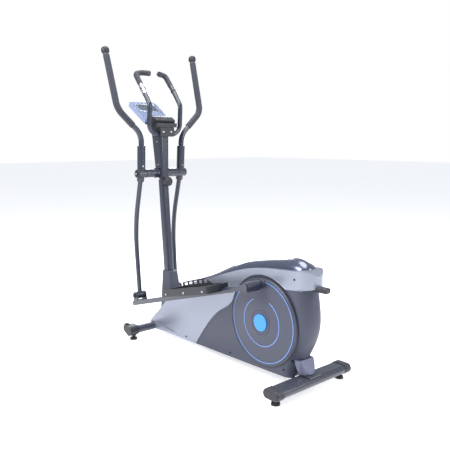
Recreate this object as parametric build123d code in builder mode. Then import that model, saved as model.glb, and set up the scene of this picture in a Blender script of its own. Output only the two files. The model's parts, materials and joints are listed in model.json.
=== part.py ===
from build123d import *
import os
from math import acos, atan2, cos, degrees, hypot, radians, sin

os.makedirs("parts", exist_ok=True)

# Elliptical trainer. -X is the front, where the console and the mast stand, +X the rear,
# where the crank turns. +Y is the user's right and +Z is up. The floor is Z = 0.
# Lengths are in millimetres. A station is a distance behind the front stabilizer's axis.

# Stance
FRONT_X = -547.1
WHEELBASE = 1204.0
REAR_X = FRONT_X + WHEELBASE
FOOT_RADIUS = 22.0
FOOT_NECK_R = 8.0
FOOT_PAD = 12.0
FOOT_TOP = 22.0

# Stabilizers
FRONT_TUBE_R = 24.0
FRONT_TUBE_Z = 57.0
FRONT_TUBE_HALF = 222.0
FRONT_FOOT_Y = 228.0
REAR_TUBE_WIDE = 94.0
REAR_TUBE_HIGH = 45.0
REAR_TUBE_Z = 54.5
REAR_TUBE_HALF = 250.0
REAR_FOOT_Y = 235.0
WHEEL_R = 30.0
WHEEL_X = FRONT_X - 38.0
WHEEL_Z = 66.0
WHEEL_IN, WHEEL_OUT = 238.0, 256.0
WHEEL_PIN_R = 5.0

# Frame beam
BEAM_HALF = 25.0
BEAM_LOW, BEAM_HIGH = 62.0, 100.0

# Mast
MAST_FOOT_X = FRONT_X + 95.0
MAST_LEAN = 4.6
MAST_WIDE, MAST_DEEP = 50.0, 52.0
MAST_TOP_Z = 1228.0
KNOB_ALONG = 958.0

# Drive
CRANK_X, CRANK_Z = FRONT_X + 965.0, 305.0
CRANK_R = 195.0
PIN_R = 12.0
PIN_END = 115.0
DISC_R = 228.0
AXLE_R = 12.5
BEARING_R = 26.0
PULLEY_R = 150.0
BELT_IN, BELT_OUT = 29.0, 43.0
FLYWHEEL_X, FLYWHEEL_Z = FRONT_X + 600.0, 250.0
FLYWHEEL_R = 120.0
FLYWHEEL_IN, FLYWHEEL_OUT = -20.0, 8.0
SMALL_PULLEY_R = 20.0
BRAKE_R = 126.0
BRAKE_HINGE_ANGLE = 212.0
BRAKE_HINGE_R = 140.0
FIT = 0.05

# Swinging linkage
PIVOT_X, PIVOT_Z = FRONT_X - 2.0, 1009.0
PIVOT_R, SLEEVE_R = 10.0, 25.0
SLEEVE_IN, SLEEVE_OUT = 121.0, 171.0
SWING_R = 754.3
ARM_LENGTH = 1041.0
SWING_Y = 146.0
CLEVIS_PIN_R = 8.0
EYE_R, EYE_IN, EYE_OUT = 22.0, 122.0, 170.0
ARM_IN, ARM_OUT = 162.0, 190.0
PLATE_IN, PLATE_OUT = 125.0, 275.0
PLATE_START, PLATE_END = 425.0, 837.0

# Casing
SILVER_HALF = 76.0
DARK_HALF = 73.0
WALL = 3.0

LEFT, RIGHT = -1, 1
NAMES = {LEFT: "left", RIGHT: "right"}
CRANK_ANGLE = {LEFT: 90.0, RIGHT: 270.0}


def save(part, name):
    """Label a finished piece and write its STEP file."""
    part.label = name
    export_step(part, f"parts/{name}.step")


def upright(x, z, y=0.0, tilt=0.0):
    """Plane across Y at a point: local x runs rearward and up by the tilt, local y is up."""
    direction = (cos(radians(tilt)), 0, sin(radians(tilt)))
    return Plane(origin=(x, y, z), x_dir=direction, z_dir=(0, -1, 0))


def bar(x, z, radius, y_from, y_to, mode=Mode.ADD):
    """Round bar or hole along Y."""
    with BuildSketch(upright(x, z, y_from)) as disc:
        Circle(radius)
    extrude(disc.sketch, amount=y_from - y_to, mode=mode)


def slab(points, y_from, y_to, mode=Mode.ADD, origin=(0.0, 0.0), tilt=0.0):
    """Flat plate across Y with a polygon outline."""
    with BuildSketch(upright(origin[0], origin[1], y_from, tilt)) as outline:
        Polygon(*points, align=None)
    extrude(outline.sketch, amount=y_from - y_to, mode=mode)


def block(x_range, y_range, z_range, mode=Mode.ADD):
    """Box between three pairs of limits."""
    x_low, x_high = x_range
    z_low, z_high = z_range
    corners = [(x_low, z_low), (x_high, z_low), (x_high, z_high), (x_low, z_high)]
    slab(corners, y_range[0], y_range[1], mode)


def tube_along(points, radii, outer, inner):
    """Bent round tube with rounded corners, swept along its centre line."""
    with BuildLine() as route:
        FilletPolyline(*points, radius=radii)
    with BuildSketch(Plane(origin=route.line @ 0, z_dir=route.line % 0)) as ring:
        Circle(outer)
        Circle(inner, mode=Mode.SUBTRACT)
    sweep(ring.sketch, path=route.line)


# ---------------------------------------------------------------- stabilizers and feet
with BuildPart() as front_stabilizer:
    bar(FRONT_X, FRONT_TUBE_Z, FRONT_TUBE_R, -FRONT_TUBE_HALF, FRONT_TUBE_HALF)
    bar(FRONT_X, FRONT_TUBE_Z, FRONT_TUBE_R - 2, -FRONT_TUBE_HALF, FRONT_TUBE_HALF, Mode.SUBTRACT)
save(front_stabilizer.part, "front_stabilizer")

CAP_R, CAP_NOSE_R = 30.0, 20.0
CAP_IN, CAP_OUT = 205.0, 264.0
SLOT_GAP = 1.0
FOOT_BOSS = 12.0
with BuildPart() as front_end_caps:
    with BuildSketch(upright(FRONT_X, FRONT_TUBE_Z, -CAP_IN)):
        with BuildLine():
            CenterArc((0, 0), CAP_R, 0, 360)
            CenterArc((WHEEL_X - FRONT_X, WHEEL_Z - FRONT_TUBE_Z), CAP_NOSE_R, 0, 360)
        make_hull()
    extrude(amount=CAP_OUT - CAP_IN)
    block((FRONT_X - FOOT_BOSS, FRONT_X + FOOT_BOSS),
          (-FRONT_FOOT_Y - FOOT_BOSS, -FRONT_FOOT_Y + FOOT_BOSS), (FOOT_TOP, 40))
    bar(FRONT_X, FRONT_TUBE_Z, FRONT_TUBE_R + FIT, -CAP_IN, -FRONT_TUBE_HALF, Mode.SUBTRACT)
    bar(WHEEL_X, WHEEL_Z, WHEEL_R + 3, -WHEEL_IN + SLOT_GAP, -WHEEL_OUT - SLOT_GAP, Mode.SUBTRACT)
    bar(WHEEL_X, WHEEL_Z, WHEEL_PIN_R, -WHEEL_IN + 3, -WHEEL_OUT - 3)
    mirror(about=Plane.XZ)
save(front_end_caps.part, "front_end_caps")

for side in (LEFT, RIGHT):
    with BuildPart() as wheel:
        bar(WHEEL_X, WHEEL_Z, WHEEL_R, side * WHEEL_IN, side * WHEEL_OUT)
        fillet(wheel.edges().filter_by(GeomType.CIRCLE), radius=3)
        bar(WHEEL_X, WHEEL_Z, WHEEL_PIN_R + FIT, side * WHEEL_IN, side * WHEEL_OUT, Mode.SUBTRACT)
    save(wheel.part, f"{NAMES[side]}_transport_wheel")

REAR_SECTION = Plane(origin=(REAR_X, -REAR_TUBE_HALF, REAR_TUBE_Z), x_dir=(1, 0, 0), z_dir=(0, 1, 0))
with BuildPart() as rear_stabilizer:
    with BuildSketch(REAR_SECTION):
        SlotOverall(REAR_TUBE_WIDE, REAR_TUBE_HIGH)
        offset(amount=-2, mode=Mode.SUBTRACT)
    extrude(amount=2 * REAR_TUBE_HALF)
save(rear_stabilizer.part, "rear_stabilizer")

REAR_CAP_IN, REAR_CAP_OUT = 228.0, 274.0
with BuildPart() as rear_end_caps:
    with BuildSketch(REAR_SECTION.offset(REAR_TUBE_HALF - REAR_CAP_OUT)):
        SlotOverall(REAR_TUBE_WIDE + 5, REAR_TUBE_HIGH + 5)
    extrude(amount=REAR_CAP_OUT - REAR_CAP_IN)
    fillet(rear_end_caps.faces().sort_by(Axis.Y)[0].edges(), radius=9)
    block((REAR_X - FOOT_BOSS, REAR_X + FOOT_BOSS),
          (-REAR_FOOT_Y - FOOT_BOSS, -REAR_FOOT_Y + FOOT_BOSS), (FOOT_TOP, 36))
    with BuildSketch(REAR_SECTION.offset(-FIT)):
        SlotOverall(REAR_TUBE_WIDE + 2 * FIT, REAR_TUBE_HIGH + 2 * FIT)
    extrude(amount=60, mode=Mode.SUBTRACT)
    mirror(about=Plane.XZ)
save(rear_end_caps.part, "rear_end_caps")

with BuildPart() as levelling_feet:
    for foot_x, foot_y in ((FRONT_X, FRONT_FOOT_Y), (REAR_X, REAR_FOOT_Y)):
        for side in (LEFT, RIGHT):
            with BuildSketch(Plane.XY) as pad:
                with Locations((foot_x, side * foot_y)):
                    Circle(FOOT_RADIUS)
            extrude(pad.sketch, amount=FOOT_PAD, taper=8)
            with BuildSketch(Plane.XY.offset(FOOT_PAD)) as neck:
                with Locations((foot_x, side * foot_y)):
                    Circle(FOOT_NECK_R)
            extrude(neck.sketch, amount=FOOT_TOP - FOOT_PAD)
save(levelling_feet.part, "levelling_feet")

# ---------------------------------------------------------------- mast planes
LEAN = radians(MAST_LEAN)
MAST_PLANE = Plane(origin=(MAST_FOOT_X, 0, 0), x_dir=(cos(LEAN), 0, sin(LEAN)),
                   z_dir=(-sin(LEAN), 0, cos(LEAN)))


def mast_section(along, deep, wide, corner):
    """Rounded section square to the mast at a distance along its axis."""
    with BuildSketch(MAST_PLANE.offset(along)) as section:
        RectangleRounded(deep, wide, corner)
    return section.sketch


# ---------------------------------------------------------------- welded main frame
SOCKET, SOCKET_WALL = 42.0, 3.0
SOCKET_LOW, SOCKET_LENGTH = 98.0, 242.0
BEAM_FRONT, BEAM_REAR = FRONT_X + 26.0, REAR_X - 60.0
BEAM_WALL = 3.0
POST_DEEP, POST_WIDE = 50.0, 44.0
HINGE_X = FLYWHEEL_X + BRAKE_HINGE_R * cos(radians(BRAKE_HINGE_ANGLE))
HINGE_Z = FLYWHEEL_Z + BRAKE_HINGE_R * sin(radians(BRAKE_HINGE_ANGLE))
HINGE_PIN_R = 4.0
HINGE_LUGS = ((-30.0, -24.0), (12.0, 18.0))
BRACKET_LEFT, BRACKET_RIGHT = (-34.0, -28.0), (50.0, 56.0)
FLYWHEEL_AXLE_R = 8.5
with BuildPart() as main_frame:
    block((BEAM_FRONT, BEAM_REAR), (-BEAM_HALF, BEAM_HALF), (BEAM_LOW, BEAM_HIGH))
    block((BEAM_FRONT, BEAM_REAR), (-BEAM_HALF + BEAM_WALL, BEAM_HALF - BEAM_WALL),
          (BEAM_LOW + BEAM_WALL, BEAM_HIGH - BEAM_WALL), Mode.SUBTRACT)
    block((FRONT_X - 20, FRONT_X + 80), (-35, 35), (FRONT_TUBE_Z + FRONT_TUBE_R + 0.3, 87))
    block((REAR_X - 64, REAR_X + 40), (-40, 40), (REAR_TUBE_Z + REAR_TUBE_HIGH / 2 + 0.3, 83))
    extrude(mast_section(SOCKET_LOW, SOCKET, SOCKET, 9), amount=SOCKET_LENGTH)
    bore = SOCKET - 2 * SOCKET_WALL
    extrude(mast_section(SOCKET_LOW, bore, bore, 6), amount=SOCKET_LENGTH, mode=Mode.SUBTRACT)
    block((CRANK_X - POST_DEEP / 2, CRANK_X + POST_DEEP / 2), (-POST_WIDE / 2, POST_WIDE / 2),
          (BEAM_HIGH - 1, CRANK_Z))
    block((CRANK_X - POST_DEEP / 2 + BEAM_WALL, CRANK_X + POST_DEEP / 2 - BEAM_WALL),
          (-POST_WIDE / 2 + BEAM_WALL, POST_WIDE / 2 - BEAM_WALL), (BEAM_HIGH + 2, CRANK_Z), Mode.SUBTRACT)
    bar(CRANK_X, CRANK_Z, BEARING_R + 6, -POST_WIDE / 2 - 3, POST_WIDE / 2 + 3)
    bar(CRANK_X, CRANK_Z, BEARING_R, -POST_WIDE / 2 - 3, POST_WIDE / 2 + 3, Mode.SUBTRACT)
    block((FLYWHEEL_X - 40, FLYWHEEL_X + 40), (BRACKET_LEFT[0], BRACKET_RIGHT[1]), (BEAM_HIGH - 1, 106))
    for y_low, y_high in (BRACKET_LEFT, BRACKET_RIGHT):
        block((FLYWHEEL_X - 25, FLYWHEEL_X + 25), (y_low, y_high), (BEAM_HIGH, FLYWHEEL_Z))
        bar(FLYWHEEL_X, FLYWHEEL_Z, 25, y_low, y_high)
        bar(FLYWHEEL_X, FLYWHEEL_Z, FLYWHEEL_AXLE_R + FIT, y_low, y_high, Mode.SUBTRACT)
    for y_low, y_high in HINGE_LUGS:
        block((HINGE_X - 14, HINGE_X + 14), (y_low, y_high), (BEAM_HIGH - 2, HINGE_Z))
        bar(HINGE_X, HINGE_Z, 14, y_low, y_high)
    bar(HINGE_X, HINGE_Z, HINGE_PIN_R, HINGE_LUGS[0][0], HINGE_LUGS[1][1])
save(main_frame.part, "main_frame")

# ---------------------------------------------------------------- mast
SHANK_R = 6.0
KNOB_PLANE = Plane(origin=MAST_PLANE.offset(KNOB_ALONG).origin, x_dir=(0, 1, 0),
                   z_dir=(cos(LEAN), 0, sin(LEAN)))
LOWER_MAST_LOW, LOWER_MAST_LENGTH = 300.0, 672.0
MAST_WALL = 2.5
with BuildPart() as lower_mast:
    extrude(mast_section(LOWER_MAST_LOW, MAST_DEEP, MAST_WIDE, 16), amount=LOWER_MAST_LENGTH)
    with BuildSketch(KNOB_PLANE.offset(MAST_DEEP / 2 - 6)) as boss:
        Circle(13)
    extrude(boss.sketch, amount=13)
    mast_bore = mast_section(LOWER_MAST_LOW, MAST_DEEP - 2 * MAST_WALL, MAST_WIDE - 2 * MAST_WALL, 13.5)
    extrude(mast_bore, amount=LOWER_MAST_LENGTH, mode=Mode.SUBTRACT)
    with BuildSketch(KNOB_PLANE) as knob_hole:
        Circle(SHANK_R + 0.1)
    extrude(knob_hole.sketch, amount=40, mode=Mode.SUBTRACT)
save(lower_mast.part, "lower_mast")

KNOB_START = MAST_DEEP / 2 + 8.0
KNOB_R = 28.0
with BuildPart() as lock_knob:
    with BuildSketch(KNOB_PLANE.offset(KNOB_START)):
        Circle(KNOB_R)
        with PolarLocations(KNOB_R + 2.5, 10):
            Circle(5, mode=Mode.SUBTRACT)
    extrude(amount=26)
    fillet(lock_knob.faces().sort_by(Axis.X)[-1].edges(), radius=3)
    with BuildSketch(KNOB_PLANE.offset(MAST_DEEP / 2 - 4)) as shank:
        Circle(SHANK_R)
    extrude(shank.sketch, amount=KNOB_START - MAST_DEEP / 2 + 5)
save(lock_knob.part, "lock_knob")

UPPER_LOW_Z = 985.0
UPPER_SECTIONS = ((UPPER_LOW_Z, -28.0, 44.0, 26.0), (MAST_TOP_Z, -56.0, 38.0, 33.0))
HOUSING_END, HOUSING_R = 119.0, 26.0
SPIGOT_LOW, SPIGOT_LENGTH = 820.0, 165.0


def upper_mast_body(inset):
    """Four-sided tapered body between two rounded sections, drawn in by an inset."""
    sketches = []
    for z, x_front, x_rear, half in UPPER_SECTIONS:
        with BuildSketch(Plane.XY.offset(z)) as section:
            with Locations((FRONT_X + (x_front + x_rear) / 2, 0)):
                RectangleRounded(x_rear - x_front - 2 * inset, 2 * (half - inset), 14 - inset)
        sketches.append(section.sketch)
    return sketches


with BuildPart() as upper_mast:
    loft(upper_mast_body(0))
    loft(upper_mast_body(3), mode=Mode.SUBTRACT)
    bar(PIVOT_X, PIVOT_Z, HOUSING_R, -HOUSING_END, HOUSING_END)
    bar(PIVOT_X, PIVOT_Z, HOUSING_R + 4, -48, 48)
    extrude(mast_section(SPIGOT_LOW, 42, 40, 10), amount=SPIGOT_LENGTH)
    extrude(mast_section(SPIGOT_LOW, 37, 35, 8), amount=SPIGOT_LENGTH - 7, mode=Mode.SUBTRACT)
    bar(PIVOT_X, PIVOT_Z, PIVOT_R + 0.02, -HOUSING_END, HOUSING_END, Mode.SUBTRACT)
save(upper_mast.part, "upper_mast")

AXLE_END = 174.0
END_CAP_IN, END_CAP_OUT = 172.0, 180.0
END_BOLT_OUT = 184.0
with BuildPart() as pivot_axle:
    bar(PIVOT_X, PIVOT_Z, PIVOT_R, -AXLE_END, AXLE_END)
save(pivot_axle.part, "pivot_axle")

with BuildPart() as pivot_end_caps:
    bar(PIVOT_X, PIVOT_Z, SLEEVE_R, -END_CAP_IN, -END_CAP_OUT)
    fillet(pivot_end_caps.faces().sort_by(Axis.Y)[0].edges(), radius=4)
    bar(PIVOT_X, PIVOT_Z, 9, -END_CAP_OUT, -END_BOLT_OUT)
    bar(PIVOT_X, PIVOT_Z, PIVOT_R + FIT, -END_CAP_IN, -AXLE_END, Mode.SUBTRACT)
    mirror(about=Plane.XZ)
save(pivot_end_caps.part, "pivot_end_caps")

# ---------------------------------------------------------------- casing outlines
TOP_EDGE = [(89, 198), (210, 300), (340, 375), (430, 417), (527, 450), (632, 487),
            (802, 546), (959, 577), (1104, 591), (1208, 600)]
ARC_R = 239.0
ARC_START, ARC_END = 53.6, 156.7
SEAM_FRONT = [(721, 352), (623, 286), (526, 192), (417, 46)]
NOSE = [(150, 45), (-2, 36), (-50, 62), (-26, 95), (89, 198)]
REAR_END = [(1235, 597), (1252, 575), (1252, 514)]
# Rear line of the column, and the side outline's limit a little behind it
COLUMN = [(1229, 498), (1245, 382), (1244, 313), (1215, 220), (1181, 154)]
COLUMN_LIMIT = [(station + 12, height) for station, height in COLUMN]
COLUMN_TOP = (1237, 511.5)
DARK_FOOT = [(1138, 154), (1175, 86), (1150, 86), (1150, 58)]
SIDE_VIEW = upright(FRONT_X, 0)


def arc_point(angle, radius=ARC_R):
    """Point on a circle about the crank axis, as station and height."""
    return (965 + radius * cos(radians(angle)), CRANK_Z + radius * sin(radians(angle)))


def silver_outline(plane):
    """Side outline of the silver shell: nose, swept top, rear end, arc round the crank disc."""
    with BuildSketch(plane) as face:
        with BuildLine():
            Spline(*TOP_EDGE)
            Polyline(TOP_EDGE[-1], *REAR_END, arc_point(ARC_START))
            CenterArc((965, CRANK_Z), ARC_R, ARC_START, ARC_END - ARC_START)
            Spline(arc_point(ARC_END), *SEAM_FRONT)
            Polyline(SEAM_FRONT[-1], *NOSE)
        make_face()
    return face.sketch


def dark_outline(plane):
    """Side outline of the dark shell: below the silver shell, with the bulging rear column."""
    with BuildSketch(plane) as face:
        with BuildLine():
            Polyline(arc_point(ARC_START), COLUMN_TOP, COLUMN_LIMIT[0])
            Spline(*COLUMN_LIMIT)
            Polyline(COLUMN_LIMIT[-1], *DARK_FOOT, SEAM_FRONT[-1])
            Spline(arc_point(ARC_END), *SEAM_FRONT)
            CenterArc((965, CRANK_Z), ARC_R, ARC_END, ARC_START - ARC_END)
        make_face()
    return face.sketch


def plan_outline(half, x_rear):
    """Plan shape of the casing: parallel sides with rounded nose and rear corners."""
    with BuildSketch(Plane.XY) as plan:
        Polygon((FRONT_X - 60, -half), (x_rear, -half), (x_rear, half), (FRONT_X - 60, half), align=None)
        fillet(plan.vertices().group_by(Axis.X)[-1], radius=half - 2)
        fillet(plan.vertices().group_by(Axis.X)[0], radius=half - 40)
    return plan.sketch


def casing_solid(outline, half, x_rear):
    """Solid with the given side outline, cut to the plan shape."""
    with BuildPart() as solid:
        extrude(outline(SIDE_VIEW), amount=half, both=True)
        extrude(plan_outline(half, x_rear), amount=700, mode=Mode.INTERSECT)
    return solid.part


def inset_points(points, amount):
    """Corner points of a closed clockwise outline, moved inward by an amount."""
    moved = []
    for before, here, after in zip(points[-1:] + points[:-1], points, points[1:] + points[:1]):
        arrive = Vector(here[0] - before[0], here[1] - before[1]).normalized()
        leave = Vector(after[0] - here[0], after[1] - here[1]).normalized()
        inward = Vector(arrive.Y + leave.Y, -arrive.X - leave.X).normalized()
        reach = amount / max(0.35, inward.dot(Vector(leave.Y, -leave.X)))
        moved.append((here[0] + reach * inward.X, here[1] + reach * inward.Y))
    return moved


def cavity(half, x_rear, inset):
    """Hollow of the whole casing, a wall's thickness inside its outline."""
    outline = inset_points(TOP_EDGE + REAR_END + COLUMN_LIMIT + DARK_FOOT + NOSE[:-1], inset)
    top_end = len(TOP_EDGE)
    column_start = top_end + len(REAR_END)
    column_end = column_start + len(COLUMN)
    with BuildPart() as hollow:
        with BuildSketch(SIDE_VIEW):
            with BuildLine():
                Spline(*outline[:top_end])
                Polyline(*outline[top_end - 1:column_start + 1])
                Spline(*outline[column_start:column_end])
                Polyline(*outline[column_end - 1:], outline[0])
            make_face()
        extrude(amount=half - inset, both=True)
        extrude(plan_outline(half - inset, x_rear - inset), amount=700, mode=Mode.INTERSECT)
    return hollow.part


def column_sections(inset):
    """Round-backed plan sections that follow the column's rear line."""
    levels = [(COLUMN[-1][0], 30), *COLUMN[::-1], (COLUMN[0][0], 600)]
    return [plan_outline(DARK_HALF - inset, FRONT_X + station - inset).moved(Location((0, 0, height)))
            for station, height in levels]


def round_backed(solid, inset):
    """Dark part of the casing, cut to the column's rounded back."""
    with BuildPart() as body:
        add(solid)
        loft(column_sections(inset), mode=Mode.INTERSECT)
    return body.part


SILVER_REAR = FRONT_X + 1252.0
DARK_REAR = FRONT_X + 1258.0
silver_solid = casing_solid(silver_outline, SILVER_HALF, SILVER_REAR)
dark_solid = round_backed(casing_solid(dark_outline, DARK_HALF, DARK_REAR), 0)
silver_cavity = cavity(SILVER_HALF, SILVER_REAR, WALL)
dark_cavity = round_backed(cavity(DARK_HALF, DARK_REAR, WALL), WALL)

LIP = [(-2, 36), (-50, 62), (-28, 84), (148, 79), (216, 69), (262, 50), (150, 45)]
with BuildPart() as left_silver_shell:
    add(silver_solid)
    with BuildSketch(upright(FRONT_X, 0, -SILVER_HALF + 14)) as lip:
        Polygon(*LIP, align=None)
    extrude(lip.sketch, amount=14)
    with BuildSketch(upright(FRONT_X, 0, -SILVER_HALF)) as lip_bevel:
        Polygon(*LIP, align=None)
    extrude(lip_bevel.sketch, amount=7, taper=45)
    add(silver_cavity, mode=Mode.SUBTRACT)
    bar(FRONT_X, FRONT_TUBE_Z, FRONT_TUBE_R + 1, -100, 100, Mode.SUBTRACT)
    extrude(mast_section(60, MAST_DEEP + 2, MAST_WIDE + 2, 17), amount=400, mode=Mode.SUBTRACT)
    split(bisect_by=Plane.XZ, keep=Keep.TOP)
save(left_silver_shell.part, "left_silver_shell")

with BuildPart() as left_dark_shell:
    add(dark_solid)
    add(dark_cavity, mode=Mode.SUBTRACT)
    bar(CRANK_X, CRANK_Z, 30, -100, 100, Mode.SUBTRACT)
    block((REAR_X - 70, REAR_X - 48), (-42, 42), (REAR_TUBE_Z, 85.5), Mode.SUBTRACT)
    split(bisect_by=Plane.XZ, keep=Keep.TOP)
save(left_dark_shell.part, "left_dark_shell")

save(mirror(left_silver_shell.part, about=Plane.XZ), "right_silver_shell")
save(mirror(left_dark_shell.part, about=Plane.XZ), "right_dark_shell")

# ---------------------------------------------------------------- casing covers
# Station, crown height, half width and root height of each section
DOME = [(345, 376, 6, 358), (372, 402, 12, 374), (465, 444, 34, 410), (592, 499, 50, 456),
        (765, 577, 57, 514), (924, 615, 57, 554), (1071, 638, 57, 568), (1150, 640, 54, 575),
        (1190, 622, 44, 578), (1212, 590, 22, 568)]
DOME_SKIRT = 18.0


def dome_sections(inset):
    """Crowned cross-sections of the dome, drawn in by an inset."""
    sketches = []
    for station, crown, half, root in DOME:
        wide, high, low = half - inset, crown - root - inset, -DOME_SKIRT - 2 * inset
        across = Plane(origin=(FRONT_X + station, 0, root), x_dir=(0, 1, 0), z_dir=(1, 0, 0))
        with BuildSketch(across) as section:
            with BuildLine():
                Spline((-wide, 0), (-0.72 * wide, 0.7 * high), (0, high), (0.72 * wide, 0.7 * high),
                       (wide, 0), tangents=((0, 1), (0, -1)))
                Polyline((wide, 0), (wide, low), (-wide, low), (-wide, 0))
            make_face()
        sketches.append(section.sketch)
    return sketches


with BuildPart() as top_cover:
    loft(dome_sections(0))
    loft(dome_sections(WALL)[1:-1], mode=Mode.SUBTRACT)
    add(silver_solid, mode=Mode.SUBTRACT)
save(top_cover.part.solids().sort_by(SortBy.VOLUME)[-1], "top_cover")

FOOT_COVER = [(1143.5, 153.4), (1180, 86.5), (1222, 86.5), (1188, 153.4)]
FOOT_HOLLOW = [(1152, 150), (1184, 91), (1211, 91), (1181, 150)]
FOOT_HALF = 50.0
with BuildPart() as rear_foot_cover:
    slab(FOOT_COVER, -FOOT_HALF, FOOT_HALF, origin=(FRONT_X, 0))
    extrude(plan_outline(FOOT_HALF, FRONT_X + 1222), amount=200, mode=Mode.INTERSECT)
    slab(FOOT_HOLLOW, -FOOT_HALF + 20, FOOT_HALF - 20, Mode.SUBTRACT, (FRONT_X, 0))
save(rear_foot_cover.part, "rear_foot_cover")

with BuildPart() as rear_handle:
    with BuildSketch(Plane(origin=(FRONT_X + 1234, 0, 514), x_dir=(0, 1, 0), z_dir=(1, 0, 0))):
        RectangleRounded(42, 27, 12)
    extrude(amount=72)
    fillet(rear_handle.faces().sort_by(Axis.X)[-1].edges(), radius=5)
    add(silver_solid, mode=Mode.SUBTRACT)
    add(dark_solid, mode=Mode.SUBTRACT)
save(rear_handle.part.solids().sort_by(Axis.X)[-1], "rear_handle")

SCREW_PLACES = [(330, 66, SILVER_HALF), (1165, 556, SILVER_HALF), (712, 72, DARK_HALF),
                (1140, 236, DARK_HALF), (1100, 92, DARK_HALF)]
with BuildPart() as casing_screws:
    for station, height, half in SCREW_PLACES:
        bar(FRONT_X + station, height, 5.5, -half, -half - 2.4)
    fillet(casing_screws.faces().filter_by(Axis.Y).group_by(Axis.Y)[0].edges(), radius=1)
    for station, height, half in SCREW_PLACES:
        bar(FRONT_X + station, height, 2.2, -half, -half - 2.4, Mode.SUBTRACT)
    mirror(about=Plane.XZ)
save(casing_screws.part, "casing_screws")

COVER_SECTIONS = ((150.0, 28.0, 160.0, 50.0), (410.0, 30.0, 118.0, 32.0))


def base_cover_body(inset, drop):
    """Sections of the tapered cover round the mast's foot."""
    sketches = []
    for z, x_front, x_rear, half in COVER_SECTIONS:
        with BuildSketch(Plane.XY.offset(z - drop)) as section:
            with Locations((FRONT_X + (x_front + x_rear) / 2, 0)):
                RectangleRounded(x_rear - x_front - 2 * inset, 2 * (half - inset), 18 - inset)
        sketches.append(section.sketch)
    return sketches


with BuildPart() as mast_base_cover:
    loft(base_cover_body(0, 0))
    loft(base_cover_body(3, 4), mode=Mode.SUBTRACT)
    extrude(mast_section(60, MAST_DEEP + 1, MAST_WIDE + 1, 16.5), amount=400, mode=Mode.SUBTRACT)
    add(silver_solid, mode=Mode.SUBTRACT)
save(mast_base_cover.part.solids().sort_by(Axis.Z)[-1], "mast_base_cover")

# ---------------------------------------------------------------- drive
with BuildPart() as crank_bearings:
    for y_in, y_out in ((-24.5, -12.5), (12.5, 24.5)):
        bar(CRANK_X, CRANK_Z, BEARING_R - 0.02, y_in, y_out)
        bar(CRANK_X, CRANK_Z, AXLE_R + FIT, y_in, y_out, Mode.SUBTRACT)
save(crank_bearings.part, "crank_bearings")

AXLE_HALF = 90.0
with BuildPart() as crank_axle:
    bar(CRANK_X, CRANK_Z, AXLE_R, -AXLE_HALF, AXLE_HALF)
save(crank_axle.part, "crank_axle")

with BuildPart() as drive_pulley:
    bar(CRANK_X, CRANK_Z, PULLEY_R, BELT_IN, BELT_OUT)
    bar(CRANK_X, CRANK_Z, PULLEY_R - 8, BELT_IN, BELT_IN + 4.5, Mode.SUBTRACT)
    bar(CRANK_X, CRANK_Z, PULLEY_R - 8, BELT_OUT - 4.5, BELT_OUT, Mode.SUBTRACT)
    bar(CRANK_X, CRANK_Z, 26, BELT_IN, BELT_OUT)
    with BuildSketch(upright(CRANK_X, CRANK_Z, BELT_IN)) as windows:
        with PolarLocations(86, 6):
            Circle(30)
    extrude(windows.sketch, amount=BELT_IN - BELT_OUT, mode=Mode.SUBTRACT)
    bar(CRANK_X, CRANK_Z, AXLE_R + 0.02, BELT_IN, BELT_OUT, Mode.SUBTRACT)
save(drive_pulley.part, "drive_pulley")

BELT_GAP, BELT_THICK = 0.4, 3.0
with BuildPart() as drive_belt:
    for extra, mode in ((BELT_GAP + BELT_THICK, Mode.ADD), (BELT_GAP, Mode.SUBTRACT)):
        with BuildSketch(upright(CRANK_X, CRANK_Z, BELT_IN + 1)) as loop:
            with BuildLine():
                CenterArc((0, 0), PULLEY_R + extra, 0, 360)
                CenterArc((FLYWHEEL_X - CRANK_X, FLYWHEEL_Z - CRANK_Z), SMALL_PULLEY_R + extra, 0, 360)
            make_hull()
        extrude(loop.sketch, amount=BELT_IN - BELT_OUT + 2, mode=mode)
save(drive_belt.part, "drive_belt")

with BuildPart() as flywheel:
    bar(FLYWHEEL_X, FLYWHEEL_Z, FLYWHEEL_R, FLYWHEEL_IN, FLYWHEEL_OUT)
    for y_in, y_out in ((FLYWHEEL_IN, FLYWHEEL_IN + 9), (FLYWHEEL_OUT - 9, FLYWHEEL_OUT)):
        bar(FLYWHEEL_X, FLYWHEEL_Z, FLYWHEEL_R - 28, y_in, y_out, Mode.SUBTRACT)
        bar(FLYWHEEL_X, FLYWHEEL_Z, 24, y_in, y_out)
    bar(FLYWHEEL_X, FLYWHEEL_Z, 15, FLYWHEEL_OUT, BELT_IN)
    bar(FLYWHEEL_X, FLYWHEEL_Z, SMALL_PULLEY_R, BELT_IN, BELT_OUT)
    bar(FLYWHEEL_X, FLYWHEEL_Z, FLYWHEEL_AXLE_R + FIT, FLYWHEEL_IN, BELT_OUT, Mode.SUBTRACT)
save(flywheel.part, "flywheel")

with BuildPart() as flywheel_axle:
    bar(FLYWHEEL_X, FLYWHEEL_Z, FLYWHEEL_AXLE_R, BRACKET_LEFT[0] - 6, BRACKET_RIGHT[1] + 6)
save(flywheel_axle.part, "flywheel_axle")


def arc_band(r_in, r_out, start, end):
    """Sketch of a curved band about the flywheel's axis, seen from the left side."""
    with BuildSketch(upright(FLYWHEEL_X, FLYWHEEL_Z, FLYWHEEL_IN)) as band:
        with BuildLine():
            inner = CenterArc((0, 0), r_in, start, end - start)
            outer = CenterArc((0, 0), r_out, start, end - start)
            Line(inner @ 0, outer @ 0)
            Line(inner @ 1, outer @ 1)
        make_face()
    return band.sketch


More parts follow.
